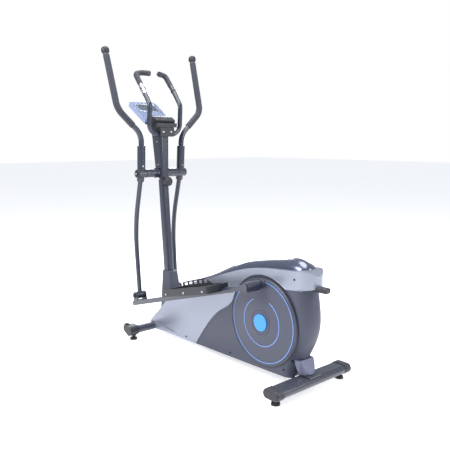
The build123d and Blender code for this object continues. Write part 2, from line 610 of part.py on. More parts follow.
BRAKE_WIDTH = FLYWHEEL_IN - FLYWHEEL_OUT
with BuildPart() as brake_bracket:
    extrude(arc_band(BRAKE_R, BRAKE_R + 6, 138, BRAKE_HINGE_ANGLE), amount=BRAKE_WIDTH)
    bar(HINGE_X, HINGE_Z, 9, FLYWHEEL_IN, FLYWHEEL_OUT)
    bar(HINGE_X, HINGE_Z, HINGE_PIN_R + FIT, FLYWHEEL_IN, FLYWHEEL_OUT, Mode.SUBTRACT)
    for start in (142, 157, 172, 187):
        extrude(arc_band(BRAKE_R - 3.4, BRAKE_R - 0.05, start, start + 11), amount=BRAKE_WIDTH)
save(brake_bracket.part, "brake_bracket")

MOTOR_X = FRONT_X + 385.0
with BuildPart() as brake_motor:
    block((MOTOR_X - 30, MOTOR_X + 30), (-20, 20), (BEAM_HIGH + 0.2, BEAM_HIGH + 42))
    bar(MOTOR_X, BEAM_HIGH + 24, 12, 20, 30)
save(brake_motor.part, "brake_motor")

DISC_BACK, DISC_RIM, DISC_HUB = 76.5, 86.0, 98.0
BOSS_FACE = 104.0
BOSS_R = 24.0
DISC_SKIN = 3.5
# Radius and distance outward from the centre plane
DISC_PROFILE = [(30, DISC_HUB - DISC_SKIN), (30, DISC_HUB), (56, DISC_HUB), (218, DISC_RIM), (DISC_R, 81),
                (DISC_R, DISC_BACK), (DISC_R - DISC_SKIN, DISC_BACK), (216, DISC_RIM - DISC_SKIN),
                (54, DISC_HUB - DISC_SKIN)]


def disc_face(radius):
    """Outer face of the crank disc at a radius, as a distance from the centre plane."""
    return DISC_HUB - (radius - 56) * (DISC_HUB - DISC_RIM) / (218 - 56)


def revolved(profile, side):
    """Turn a profile of radius and outward distance about the crank axis."""
    with BuildSketch(Plane.XY) as section:
        Polygon(*[(CRANK_X + radius, side * out) for radius, out in profile], align=None)
    moved = section.sketch.moved(Location((0, 0, CRANK_Z)))
    return revolve(moved, axis=Axis((CRANK_X, 0, CRANK_Z), (0, 1, 0)), mode=Mode.PRIVATE)


for side in (LEFT, RIGHT):
    pin_z = CRANK_Z + CRANK_R * sin(radians(CRANK_ANGLE[side]))
    with BuildPart() as crank_disc:
        add(revolved(DISC_PROFILE, side))
        bar(CRANK_X, pin_z, BOSS_R, side * (disc_face(CRANK_R) - 3), side * BOSS_FACE)
        bar(CRANK_X, pin_z, PIN_R + 0.02, side * DISC_BACK, side * BOSS_FACE, Mode.SUBTRACT)
    save(crank_disc.part, f"{NAMES[side]}_crank_disc")

ARM_INNER, ARM_OUTER = 76.5, 82.2
with BuildPart() as crank_arms:
    for side in (LEFT, RIGHT):
        turn = CRANK_ANGLE[side]
        with BuildSketch(upright(CRANK_X, CRANK_Z, side * ARM_INNER)) as arm:
            with BuildLine():
                CenterArc((0, 0), 26, 0, 360)
                CenterArc((CRANK_R * cos(radians(turn)), CRANK_R * sin(radians(turn))), 18, 0, 360)
            make_hull()
        extrude(arm.sketch, amount=side * (ARM_INNER - ARM_OUTER))
        bar(CRANK_X, CRANK_Z + CRANK_R * sin(radians(turn)), PIN_R, side * ARM_INNER, side * PIN_END)
        bar(CRANK_X, CRANK_Z, AXLE_R + 0.02, side * ARM_INNER, side * ARM_OUTER, Mode.SUBTRACT)
save(crank_arms.part, "crank_arms")

HUB_CAP_R, HUB_CAP_FACE = 44.0, 104.0
with BuildPart() as hub_caps:
    for side in (LEFT, RIGHT):
        bar(CRANK_X, CRANK_Z, HUB_CAP_R, side * (DISC_HUB + 0.05), side * HUB_CAP_FACE)
    outer_faces = hub_caps.faces().filter_by(lambda f: abs(f.center().Y) > HUB_CAP_FACE - 1)
    fillet(outer_faces.edges(), radius=3)
save(hub_caps.part, "hub_caps")

RING_PROUD, RING_HALF = 1.0, 1.6
RINGS = ((208.0, 0.0), (122.0, 52.0))
with BuildPart() as disc_rings:
    for side in (LEFT, RIGHT):
        for radius, opening in RINGS:
            low, high = radius - RING_HALF, radius + RING_HALF
            add(revolved([(low, disc_face(low) + 0.05), (low, disc_face(low) + RING_PROUD),
                          (high, disc_face(high) + RING_PROUD), (high, disc_face(high) + 0.05)], side))
            turn = CRANK_ANGLE[side]
            pin_z = CRANK_Z + CRANK_R * sin(radians(turn))
            bar(CRANK_X, pin_z, BOSS_R + 0.5, side * ARM_INNER, side * BOSS_FACE, Mode.SUBTRACT)
            if opening:
                spread = radius * opening / 90
                gate = upright(CRANK_X, CRANK_Z, side * ARM_INNER, turn)
                with BuildSketch(gate) as gap:
                    Polygon((0, 0), (radius + 20, spread), (radius + 20, -spread), align=None)
                extrude(gap.sketch, amount=-side * 30, mode=Mode.SUBTRACT)
save(disc_rings.part, "disc_rings")

# ---------------------------------------------------------------- fixed handlebar
BAR_R = 14.0
BAR_X, BAR_Z = FRONT_X + 38.0, 1243.0
# Station, distance from the middle and height
HALF_BAR = [(-58, 38, 1606), (-100, 62, 1612), (-100, 110, 1603), (4, 112, 1476), (49, 112, 1416),
            (38, 112, 1243)]
HALF_RADII = [18, 22, 150, 55, 60]


def bar_route(side):
    """Corner points of one half of the handlebar, from its free end to the mast."""
    return [(FRONT_X + station, side * out, height) for station, out, height in HALF_BAR]


with BuildPart() as fixed_handlebar:
    tube_along(bar_route(LEFT) + bar_route(RIGHT)[::-1], HALF_RADII + HALF_RADII[::-1], BAR_R, BAR_R - 2)
save(fixed_handlebar.part, "fixed_handlebar")

GRIP_SHARE = 0.52
FIXED_GRIP_R = BAR_R + 2.6
with BuildPart() as fixed_grips:
    for side in (LEFT, RIGHT):
        route = bar_route(side)
        bend, straight = Vector(route[2]), Vector(route[3])
        grip_end = bend + (straight - bend) * GRIP_SHARE
        tube_along(route[:3] + [grip_end], HALF_RADII[:2], FIXED_GRIP_R, BAR_R + FIT)
        cap_plane = Plane(origin=route[0], z_dir=Vector(route[0]) - Vector(route[1]))
        with BuildSketch(cap_plane.offset(0.05)) as end_cap:
            Circle(FIXED_GRIP_R)
        extrude(end_cap.sketch, amount=4)
save(fixed_grips.part, "fixed_grips")

PLATE_LENGTH, PLATE_GAP = 34.0, 7.0
with BuildPart() as pulse_plates:
    for side in (LEFT, RIGHT):
        bend, straight = Vector(bar_route(side)[2]), Vector(bar_route(side)[3])
        run = (straight - bend).normalized()
        start = bend + (straight - bend) * GRIP_SHARE + run * 4
        for index in range(2):
            step = index * (PLATE_LENGTH + PLATE_GAP)
            foot = Plane(origin=start + run * step, x_dir=(0, side, 0), z_dir=run)
            with BuildSketch(foot) as ring:
                Circle(BAR_R + 2)
                Circle(BAR_R + FIT, mode=Mode.SUBTRACT)
                with Locations((-2 * BAR_R, 0)):
                    Rectangle(4 * BAR_R + 6, 4 * BAR_R, mode=Mode.SUBTRACT)
            extrude(ring.sketch, amount=PLATE_LENGTH)
save(pulse_plates.part, "pulse_plates")

CLAMP_HALF = 51.0
with BuildPart() as handlebar_clamp:
    block((FRONT_X + 9, FRONT_X + 68), (-CLAMP_HALF, CLAMP_HALF), (MAST_TOP_Z + 0.2, 1283.5))
    fillet(handlebar_clamp.edges().filter_by(Axis.Y), radius=10)
    bar(BAR_X, BAR_Z, BAR_R + 0.02, -CLAMP_HALF, CLAMP_HALF, Mode.SUBTRACT)
save(handlebar_clamp.part, "handlebar_clamp")

# ---------------------------------------------------------------- console
CONSOLE_TILT = 34.0
CONSOLE_LONG, CONSOLE_THICK = 205.0, 30.0
CONSOLE_TOP_WIDE, CONSOLE_LOW_WIDE = 200.0, 188.0
TILT = radians(CONSOLE_TILT)
CONSOLE_FACE = Plane(origin=(FRONT_X - 115, 0, 1387.5), x_dir=(0, 1, 0), z_dir=(sin(TILT), 0, cos(TILT)))
DISPLAY_WIDE, DISPLAY_LONG, DISPLAY_AT = 128.0, 74.0, 34.0
BUTTON_WIDE, BUTTON_LONG, BUTTON_AT, BUTTON_STEP = 24.0, 11.0, -62.0, 40.0
BUTTONS = {"down_button": -1, "enter_button": 0, "up_button": 1}


def console_outline():
    """Console face, wider at its top edge."""
    low, high = CONSOLE_LOW_WIDE / 2, CONSOLE_TOP_WIDE / 2
    Polygon((-low, -CONSOLE_LONG / 2), (low, -CONSOLE_LONG / 2), (high, CONSOLE_LONG / 2),
            (-high, CONSOLE_LONG / 2), align=None)


with BuildPart() as console_housing:
    with BuildSketch(CONSOLE_FACE) as face:
        console_outline()
        fillet(face.vertices(), radius=14)
    extrude(face.sketch, amount=-CONSOLE_THICK, taper=10)
    fillet(console_housing.faces().sort_by(Axis.Z)[-1].edges(), radius=2.5)
    with BuildSketch(CONSOLE_FACE) as window:
        with Locations((0, DISPLAY_AT)):
            RectangleRounded(DISPLAY_WIDE, DISPLAY_LONG, 8)
    extrude(window.sketch, amount=-3, mode=Mode.SUBTRACT)
    with BuildSketch(CONSOLE_FACE) as pockets:
        with Locations(*[(index * BUTTON_STEP, BUTTON_AT) for index in BUTTONS.values()]):
            RectangleRounded(BUTTON_WIDE, BUTTON_LONG, 5)
    extrude(pockets.sketch, amount=-7, mode=Mode.SUBTRACT)
save(console_housing.part, "console_housing")

with BuildPart() as console_display:
    with BuildSketch(CONSOLE_FACE.offset(-2.9)) as lens:
        with Locations((0, DISPLAY_AT)):
            RectangleRounded(DISPLAY_WIDE - 0.3, DISPLAY_LONG - 0.3, 7.8)
    extrude(lens.sketch, amount=2.4)
save(console_display.part, "console_display")

for name, index in BUTTONS.items():
    with BuildPart() as button:
        with BuildSketch(CONSOLE_FACE.offset(-5)) as top:
            with Locations((index * BUTTON_STEP, BUTTON_AT)):
                RectangleRounded(BUTTON_WIDE - 0.8, BUTTON_LONG - 0.8, 4.6)
        extrude(top.sketch, amount=7)
    save(button.part, name)

NECK_HALF, HOOD_HALF = 32.0, 70.0
HOOD = [(-66, 1302), (8, 1310), (46, 1310), (52, 1326), (20, 1346), (-66, 1360)]
with BuildPart() as console_bracket:
    block((FRONT_X - 50, FRONT_X + 8), (-NECK_HALF, NECK_HALF), (MAST_TOP_Z + 0.2, 1310))
    slab(HOOD, -HOOD_HALF, HOOD_HALF, origin=(FRONT_X, 0))
    with BuildSketch(CONSOLE_FACE.offset(20)) as clearance:
        Rectangle(400, CONSOLE_LONG + 1)
    extrude(clearance.sketch, amount=-20 - CONSOLE_THICK, mode=Mode.SUBTRACT)
save(console_bracket.part.solids().sort_by(SortBy.VOLUME)[-1], "console_bracket")

LEDGE_HALF = 82.0
LEDGE_LOW, LEDGE_TOP = 1284.0, 1309.0
with BuildPart() as accessory_ledge:
    block((FRONT_X + 9, FRONT_X + 64), (-LEDGE_HALF, LEDGE_HALF), (LEDGE_LOW, LEDGE_TOP))
    fillet(accessory_ledge.edges().filter_by(Axis.Z).group_by(Axis.X)[-1], radius=18)
    block((FRONT_X + 15, FRONT_X + 58), (-LEDGE_HALF + 8, LEDGE_HALF - 8), (LEDGE_TOP - 10, LEDGE_TOP),
          Mode.SUBTRACT)
save(accessory_ledge.part, "accessory_ledge")


# ---------------------------------------------------------------- linkage
def front_joint(side):
    """Station where a swing arm and a pedal arm meet, from the position of the crank pin."""
    turn = radians(CRANK_ANGLE[side])
    pin_x, pin_z = CRANK_X + CRANK_R * cos(turn), CRANK_Z + CRANK_R * sin(turn)
    gap_x, gap_z = pin_x - PIVOT_X, pin_z - PIVOT_Z
    gap = hypot(gap_x, gap_z)
    corner = acos((SWING_R ** 2 + gap ** 2 - ARM_LENGTH ** 2) / (2 * SWING_R * gap))
    heading = atan2(gap_z, gap_x) - corner
    return PIVOT_X + SWING_R * cos(heading), PIVOT_Z + SWING_R * sin(heading)


def swing_point(side, down, ahead, out):
    """Point on a swing arm: distance down from its pivot, ahead of its centre line, and outward."""
    joint_x, joint_z = front_joint(side)
    down_x, down_z = (joint_x - PIVOT_X) / SWING_R, (joint_z - PIVOT_Z) / SWING_R
    return (PIVOT_X + down * down_x + ahead * down_z, side * out, PIVOT_Z + down * down_z - ahead * down_x)


# Distance down from the pivot, ahead of the arm's centre line, and outward
HANDLE = [(-60, 2.5, 146), (-231, 6.7, 146), (-375, 22.2, 301), (-702, 140.5, 311)]
HANDLE_RADII = [110, 100]
HANDLE_R = 16.0
LOWER_TUBE = [(14, 4.4, 146), (336, 59.4, 146), (738, 1, 146)]
LOWER_R = 14.0
SLEEVE_TOP, SLEEVE_FOOT = -165.0, 46.0
GRIP_R = 19.5
GRIP_START = 0.34
CAP_DEPTH = 22.0

for side in (LEFT, RIGHT):
    handle = [swing_point(side, *place) for place in HANDLE]
    lower = [swing_point(side, *place) for place in LOWER_TUBE]
    joint_x, joint_z = front_joint(side)
    sleeve_top = Vector(swing_point(side, SLEEVE_TOP, 5.08, SWING_Y))
    sleeve_mid = Vector(swing_point(side, 0, 1.03, SWING_Y))
    sleeve_foot = Vector(swing_point(side, SLEEVE_FOOT, 9.8, SWING_Y))
    with BuildPart() as swing_arm:
        tube_along(lower, [900], LOWER_R, LOWER_R - 2)
        for start, end, radius in ((sleeve_top, sleeve_mid, 24), (sleeve_mid, sleeve_foot, 21.5)):
            with BuildSketch(Plane(origin=start, z_dir=end - start)) as round_section:
                Circle(radius)
            extrude(round_section.sketch, amount=(end - start).length)
        bar(PIVOT_X, PIVOT_Z, SLEEVE_R, side * SLEEVE_IN, side * SLEEVE_OUT)
        with BuildSketch(Plane(origin=sleeve_top, z_dir=sleeve_mid - sleeve_top)) as socket:
            Circle(HANDLE_R + FIT)
        extrude(socket.sketch, amount=108, mode=Mode.SUBTRACT)
        bar(joint_x, joint_z, EYE_R, side * EYE_IN, side * EYE_OUT)
        bar(joint_x, joint_z, CLEVIS_PIN_R + FIT, side * EYE_IN, side * EYE_OUT, Mode.SUBTRACT)
        bar(PIVOT_X, PIVOT_Z, PIVOT_R + FIT, side * SLEEVE_IN, side * SLEEVE_OUT, Mode.SUBTRACT)
    save(swing_arm.part, f"{NAMES[side]}_swing_arm")

    with BuildPart() as handle_tube:
        tube_along(handle, HANDLE_RADII, HANDLE_R, HANDLE_R - 2)
    save(handle_tube.part, f"{NAMES[side]}_handle_tube")

    second, third, last = Vector(handle[1]), Vector(handle[2]), Vector(handle[3])
    grip_foot = second + (third - second) * GRIP_START
    with BuildPart() as handle_grip:
        grip_top = last - (last - third).normalized() * CAP_DEPTH
        tube_along([grip_foot, third, grip_top], HANDLE_RADII[1:], GRIP_R, HANDLE_R + FIT)
    save(handle_grip.part, f"{NAMES[side]}_handle_grip")

    cap_base = Plane(origin=last - (last - third).normalized() * (CAP_DEPTH - 0.5), z_dir=last - third)
    with BuildPart() as grip_cap:
        with BuildSketch(cap_base) as base:
            Circle(GRIP_R + 4)
        extrude(base.sketch, amount=44)
        fillet(grip_cap.edges().filter_by(GeomType.CIRCLE), radius=18)
        with BuildSketch(cap_base) as socket:
            Circle(HANDLE_R + FIT)
        extrude(socket.sketch, amount=CAP_DEPTH, mode=Mode.SUBTRACT)
    save(grip_cap.part, f"{NAMES[side]}_grip_cap")

# ---------------------------------------------------------------- pedal arms
TUBE_HIGH, TUBE_WALL = 28.0, 2.5
TUBE_FRONT_DROP = 45.0
TUBE_SLOPE = TUBE_FRONT_DROP / ARM_LENGTH
FLOOR_LOW, FLOOR_HIGH = 9.0, 17.0
SKIRT_LOW, RIM_HIGH = -10.0, 27.0
PLATE_WALL = 6.0
PLATE_CORNER = 18.0
# Distance behind the front joint and height above the line to the crank pin
GUARD = [(442, 20), (442, 46), (452, 52), (649, 64), (716, 26)]
GUARD_SLOTS = 5
BRACKETS_AT = (500.0, 760.0)
CHEEKS = ((111.0, 119.5), (172.5, 181.0))
BUSH_R, BUSH_IN, BUSH_OUT = 26.0, 116.0, 208.0
PIN_HEAD_R = 14.0


def tray_section(tray, height, inset, corner):
    """Rounded outline of a footplate at a height in its tray's plane, drawn in by an inset."""
    with BuildSketch(tray.offset(height)) as section:
        with Locations(((PLATE_START + PLATE_END) / 2, 0)):
            RectangleRounded(PLATE_END - PLATE_START - 2 * inset, PLATE_OUT - PLATE_IN - 2 * inset, corner)
    return section.sketch


def tube_axis(along):
    """Height of the pedal arm tube's axis above the line from front joint to crank pin."""
    return -TUBE_FRONT_DROP + along * TUBE_SLOPE


for side in (LEFT, RIGHT):
    joint_x, joint_z = front_joint(side)
    pin_z = CRANK_Z + CRANK_R * sin(radians(CRANK_ANGLE[side]))
    slope = degrees(atan2(pin_z - joint_z, CRANK_X - joint_x))
    at_joint = {"origin": (joint_x, joint_z), "tilt": slope}
    half = TUBE_HIGH / 2
    bore = half - TUBE_WALL
    u_a, u_b = -24.0, ARM_LENGTH - 10
    v_a, v_b = tube_axis(u_a), tube_axis(u_b)
    with BuildPart() as pedal_arm:
        slab([(u_a, v_a - half), (u_b, v_b - half), (u_b, v_b + half), (u_a, v_a + half)],
             side * ARM_IN, side * ARM_OUT, **at_joint)
        slab([(u_a + 3, v_a - bore), (u_b - 30, v_b - bore), (u_b - 30, v_b + bore), (u_a + 3, v_a + bore)],
             side * (ARM_IN + TUBE_WALL), side * (ARM_OUT - TUBE_WALL), Mode.SUBTRACT, **at_joint)
        for cheek_in, cheek_out in CHEEKS:
            slab([(-EYE_R, -58), (EYE_R, -58), (EYE_R, 0), (-EYE_R, 0)],
                 side * cheek_in, side * cheek_out, **at_joint)
            bar(joint_x, joint_z, EYE_R, side * cheek_in, side * cheek_out)
            bar(joint_x, joint_z, CLEVIS_PIN_R + 0.02, side * cheek_in, side * cheek_out, Mode.SUBTRACT)
        slab([(-24, -60), (44, -58), (44, -52), (-24, -54)],
             side * CHEEKS[0][0], side * ARM_OUT, **at_joint)
        slab([(-20, -56), (20, -56), (20, -27), (-20, -27)], side * 119.5, side * 172.5, **at_joint)
        for place in BRACKETS_AT:
            slab([(place - 30, 3), (place + 30, 3), (place + 30, 8.7), (place - 30, 8.7)],
                 side * 135, side * 265, **at_joint)
            slab([(place - 25, tube_axis(place) + half - 1), (place + 25, tube_axis(place) + half - 1),
                  (place + 25, 4), (place - 25, 4)], side * 170, side * 182, **at_joint)
        bar(CRANK_X, pin_z, BUSH_R, side * BUSH_IN, side * BUSH_OUT)
        bar(CRANK_X, pin_z, PIN_R + 2, side * BUSH_IN, side * (BUSH_OUT - 12), Mode.SUBTRACT)
        bar(CRANK_X, pin_z, BUSH_R - 5, side * BUSH_OUT, side * (BUSH_OUT + 6))
    save(pedal_arm.part, f"{NAMES[side]}_pedal_arm")

    tray = Plane(origin=(joint_x, side * (PLATE_IN + PLATE_OUT) / 2, joint_z),
                 x_dir=(cos(radians(slope)), 0, sin(radians(slope))),
                 z_dir=(-sin(radians(slope)), 0, cos(radians(slope))))
    with BuildPart() as footplate:
        extrude(tray_section(tray, SKIRT_LOW, 0, PLATE_CORNER), amount=RIM_HIGH - SKIRT_LOW)
        inner_corner = PLATE_CORNER - PLATE_WALL
        upper_pocket = tray_section(tray, FLOOR_HIGH, PLATE_WALL, inner_corner)
        extrude(upper_pocket, amount=RIM_HIGH, mode=Mode.SUBTRACT)
        lower_pocket = tray_section(tray, FLOOR_LOW, PLATE_WALL, inner_corner)
        extrude(lower_pocket, amount=-2 * FLOOR_LOW + SKIRT_LOW, mode=Mode.SUBTRACT)
        notch_start = PLATE_END - 2 * PLATE_WALL
        slab([(notch_start, SKIRT_LOW - 1), (PLATE_END + 1, SKIRT_LOW - 1), (PLATE_END + 1, FLOOR_LOW),
              (notch_start, FLOOR_LOW)], side * (ARM_IN - 2), side * (ARM_OUT + 2), Mode.SUBTRACT, **at_joint)
        slab(GUARD, side * PLATE_IN, side * (PLATE_IN + PLATE_WALL), **at_joint)
        for index in range(GUARD_SLOTS):
            start = 456 + 44 * index
            low = 33 + 0.02 * (start - 456)
            high = 44.0 + 0.055 * (start - 456)
            slab([(start, low), (start + 33, low), (start + 33, high + 1.9), (start, high)],
                 side * (PLATE_IN - 1), side * (PLATE_IN + PLATE_WALL + 1), Mode.SUBTRACT, **at_joint)
    save(footplate.part, f"{NAMES[side]}_footplate")

    with BuildPart() as clevis_pin:
        bar(joint_x, joint_z, CLEVIS_PIN_R, side * 105, side * 187)
        bar(joint_x, joint_z, PIN_HEAD_R, side * 104, side * (CHEEKS[0][0] - 0.1))
        bar(joint_x, joint_z, PIN_HEAD_R, side * (CHEEKS[1][1] + 0.1), side * 188)
    save(clevis_pin.part, f"{NAMES[side]}_clevis_pin")
    print(NAMES[side], "front joint", round(joint_x, 2), round(joint_z, 2), "slope", round(slope, 3))
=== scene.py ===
"""Looks of a front-handled elliptical trainer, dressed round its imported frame.

Lengths are in metres. -X is the front, where the console stands, +Y the user's right, +Z up.
"""

import json
import logging
import math
from dataclasses import dataclass
from enum import Enum
from typing import Sequence

import bmesh
import bpy
from mathutils import Matrix, Vector


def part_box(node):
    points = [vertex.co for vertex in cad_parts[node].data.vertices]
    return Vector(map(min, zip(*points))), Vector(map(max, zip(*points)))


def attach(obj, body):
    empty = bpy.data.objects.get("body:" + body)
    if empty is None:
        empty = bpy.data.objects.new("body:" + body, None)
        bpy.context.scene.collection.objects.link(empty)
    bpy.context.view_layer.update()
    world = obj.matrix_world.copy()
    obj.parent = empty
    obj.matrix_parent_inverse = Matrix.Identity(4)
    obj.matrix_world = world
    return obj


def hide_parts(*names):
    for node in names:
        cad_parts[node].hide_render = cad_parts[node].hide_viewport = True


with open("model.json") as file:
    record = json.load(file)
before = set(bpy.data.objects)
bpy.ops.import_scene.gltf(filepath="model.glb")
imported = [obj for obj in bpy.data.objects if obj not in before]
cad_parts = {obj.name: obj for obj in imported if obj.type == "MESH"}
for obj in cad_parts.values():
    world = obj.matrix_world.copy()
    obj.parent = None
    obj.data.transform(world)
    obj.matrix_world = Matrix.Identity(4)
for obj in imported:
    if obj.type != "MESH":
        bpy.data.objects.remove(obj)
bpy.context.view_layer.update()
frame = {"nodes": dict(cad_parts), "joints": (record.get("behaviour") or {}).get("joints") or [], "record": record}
LOG = logging.getLogger("trainer")

Colour = tuple[float, float, float]
SIDES = {"left": -1, "right": 1}


# ---------------------------------------------------------------- node helpers
class Tree:
    """Adds and joins nodes in one node tree."""

    def __init__(self, tree: bpy.types.NodeTree) -> None:
        """Keep the tree that the nodes go into."""
        self.tree = tree

    def node(self, kind: str, inputs: dict | None = None, **settings: object) -> bpy.types.Node:
        """Add one node.

        Args:
            kind: The node's type name.
            inputs: Socket name or index, with the value or the socket that feeds it.
            settings: Attributes of the node, set before its inputs.

        Returns:
            The new node.
        """
        made = self.tree.nodes.new(kind)
        for key, value in settings.items():
            setattr(made, key, value)
        for key, value in (inputs or {}).items():
            socket = made.inputs[key]
            if isinstance(value, bpy.types.NodeSocket):
                self.tree.links.new(value, socket)
            else:
                socket.default_value = value
        return made

    def maths(self, operation: str, first: object, second: object) -> bpy.types.NodeSocket:
        """One Math node; returns its result."""
        return self.node("ShaderNodeMath", {0: first, 1: second}, operation=operation).outputs[0]

    def blend(self, factor: object, first: object, second: object) -> bpy.types.NodeSocket:
        """Mix two colours by a factor; returns the mixed colour."""
        mix = self.node("ShaderNodeMix", data_type="RGBA")
        for socket, value in ((mix.inputs[0], factor), (mix.inputs[6], first), (mix.inputs[7], second)):
            if isinstance(value, bpy.types.NodeSocket):
                self.tree.links.new(value, socket)
            else:
                socket.default_value = value
        return mix.outputs[2]


def opaque(colour: Colour) -> tuple[float, float, float, float]:
    """The colour with full alpha."""
    return (*colour, 1.0)


# ---------------------------------------------------------------- shader groups
class Texture(Enum):
    """How a finish breaks up over its surface."""

    GRAIN = "moulded_grain"
    FOAM = "foam_cells"
    BRUSHED = "brushed_lines"
    PAINT = "powder_paint"
    SMOOTH = "polished_skin"


class SurfaceGroups:
    """Builds each shared surface effect once, all with the same sockets."""

    def __init__(self) -> None:
        """Start with no groups made."""
        self.made: dict[str, bpy.types.NodeTree] = {}

    def surface(self, texture: Texture) -> bpy.types.NodeTree:
        """The group of one texture, built on first use.

        Args:
            texture: Which surface effect is wanted.

        Returns:
            A group that puts out a tone mask, a roughness and a height.
        """
        if texture.value in self.made:
            return self.made[texture.value]
        group = bpy.data.node_groups.new(texture.value, "ShaderNodeTree")
        for name, value in (("Scale", 400.0), ("Roughness", 0.5), ("Spread", 0.1)):
            socket = group.interface.new_socket(name, in_out="INPUT", socket_type="NodeSocketFloat")
            socket.default_value = value
        for name in ("Tone", "Roughness", "Height"):
            group.interface.new_socket(name, in_out="OUTPUT", socket_type="NodeSocketFloat")
        build = Tree(group)
        given = build.node("NodeGroupInput").outputs
        place = build.node("ShaderNodeTexCoord").outputs["Object"]
        broad = build.node("ShaderNodeTexNoise", {"Vector": place, "Scale": 7.0, "Detail": 3.0}).outputs[0]
        fine, height = self._pattern(build, texture, place, given["Scale"])
        tone = build.maths("ADD", build.maths("MULTIPLY", broad, 0.7), build.maths("MULTIPLY", fine, 0.3))
        drift = build.maths("SUBTRACT", tone, 0.5)
        rough = build.maths("MULTIPLY_ADD", drift, given["Spread"])
        self.tree_link(build, given["Roughness"], rough)
        build.node("NodeGroupOutput", {"Tone": tone, "Roughness": rough, "Height": height})
        self.made[texture.value] = group
        return group

    @staticmethod
    def tree_link(build: Tree, source: bpy.types.NodeSocket, result: bpy.types.NodeSocket) -> None:
        """Feed the last input of the node that a result comes from."""
        build.tree.links.new(source, result.node.inputs[2])

    @staticmethod
    def _pattern(build: Tree, texture: Texture, place: bpy.types.NodeSocket,
                 scale: bpy.types.NodeSocket) -> tuple[bpy.types.NodeSocket, bpy.types.NodeSocket]:
        """The fine mask and the height of one texture."""
        if texture is Texture.BRUSHED:
            stretched = build.node("ShaderNodeMapping", {"Vector": place, "Scale": (0.04, 1.0, 1.0)})
            lines = build.node("ShaderNodeTexNoise", {"Vector": stretched.outputs[0], "Scale": scale,
                                                      "Detail": 2.0}).outputs[0]
            return lines, lines
        noise = build.node("ShaderNodeTexNoise", {"Vector": place, "Scale": scale, "Detail": 4.0,
                                                  "Roughness": 0.6}).outputs[0]
        if texture in (Texture.PAINT, Texture.SMOOTH):
            return noise, noise
        cells = build.node("ShaderNodeTexVoronoi", {"Vector": place, "Scale": scale}).outputs["Distance"]
        share = 0.75 if texture is Texture.FOAM else 0.45
        height = build.maths("ADD", build.maths("MULTIPLY", cells, share),
                             build.maths("MULTIPLY", noise, 1.0 - share))
        return cells, height

    def dust(self) -> bpy.types.NodeTree:
        """The group of dust that settles on faces turned up, built on first use."""
        if "settled_dust" in self.made:
            return self.made["settled_dust"]
        group = bpy.data.node_groups.new("settled_dust", "ShaderNodeTree")
        amount = group.interface.new_socket("Amount", in_out="INPUT", socket_type="NodeSocketFloat")
        amount.default_value = 0.1
        group.interface.new_socket("Mask", in_out="OUTPUT", socket_type="NodeSocketFloat")
        build = Tree(group)
        given = build.node("NodeGroupInput").outputs["Amount"]
        normal = build.node("ShaderNodeNewGeometry").outputs["Normal"]
        upward = build.node("ShaderNodeSeparateXYZ", {0: normal}).outputs["Z"]
        facing = build.node("ShaderNodeMapRange", {"Value": upward, "From Min": 0.25, "From Max": 1.0},
                            clamp=True).outputs[0]
        place = build.node("ShaderNodeTexCoord").outputs["Object"]
        specks = build.node("ShaderNodeTexNoise", {"Vector": place, "Scale": 55.0, "Detail": 6.0}).outputs[0]
        mask = build.maths("MULTIPLY", build.maths("MULTIPLY", facing, specks), given)
        build.node("NodeGroupOutput", {"Mask": mask})
        self.made["settled_dust"] = group
        return group


GROUPS = SurfaceGroups()
DUST_COLOUR: Colour = (0.62, 0.64, 0.68)


# ---------------------------------------------------------------- finishes
@dataclass(frozen=True)
class Finish:
    """One finish, from the values that a maker would give for it."""

    name: str
    colour: Colour
    deep: Colour
    roughness: float
    texture: Texture
    scale: float = 600.0
    relief: float = 0.00004
    spread: float = 0.15
    metallic: float = 0.0
    coat: float = 0.0
    coat_roughness: float = 0.1
    sheen: float = 0.0
    dust: float = 0.12

    def build(self) -> bpy.types.Material:
        """Make the material of this finish."""
        material = bpy.data.materials.new(self.name)
        material.use_nodes = True
        material.node_tree.nodes.clear()
        build = Tree(material.node_tree)
        surface = build.node("ShaderNodeGroup", {}, node_tree=GROUPS.surface(self.texture))
        for name, value in (("Scale", self.scale), ("Roughness", self.roughness), ("Spread", self.spread)):
            surface.inputs[name].default_value = value
        body = build.blend(surface.outputs["Tone"], opaque(self.deep), opaque(self.colour))
        dust = build.node("ShaderNodeGroup", {}, node_tree=GROUPS.dust())
        dust.inputs["Amount"].default_value = self.dust
        dusty = build.blend(dust.outputs["Mask"], body, opaque(DUST_COLOUR))
        rough = build.maths("MULTIPLY_ADD", dust.outputs["Mask"], 0.4)
        build.tree.links.new(surface.outputs["Roughness"], rough.node.inputs[2])
        bump = build.node("ShaderNodeBump", {"Height": surface.outputs["Height"], "Strength": 0.9,
                                             "Distance": self.relief})
        shader = build.node("ShaderNodeBsdfPrincipled", {
            "Base Color": dusty, "Roughness": rough, "Normal": bump.outputs[0], "Metallic": self.metallic,
            "Coat Weight": self.coat, "Coat Roughness": self.coat_roughness, "Sheen Weight": self.sheen})
        build.node("ShaderNodeOutputMaterial", {"Surface": shader.outputs[0]})
        return material


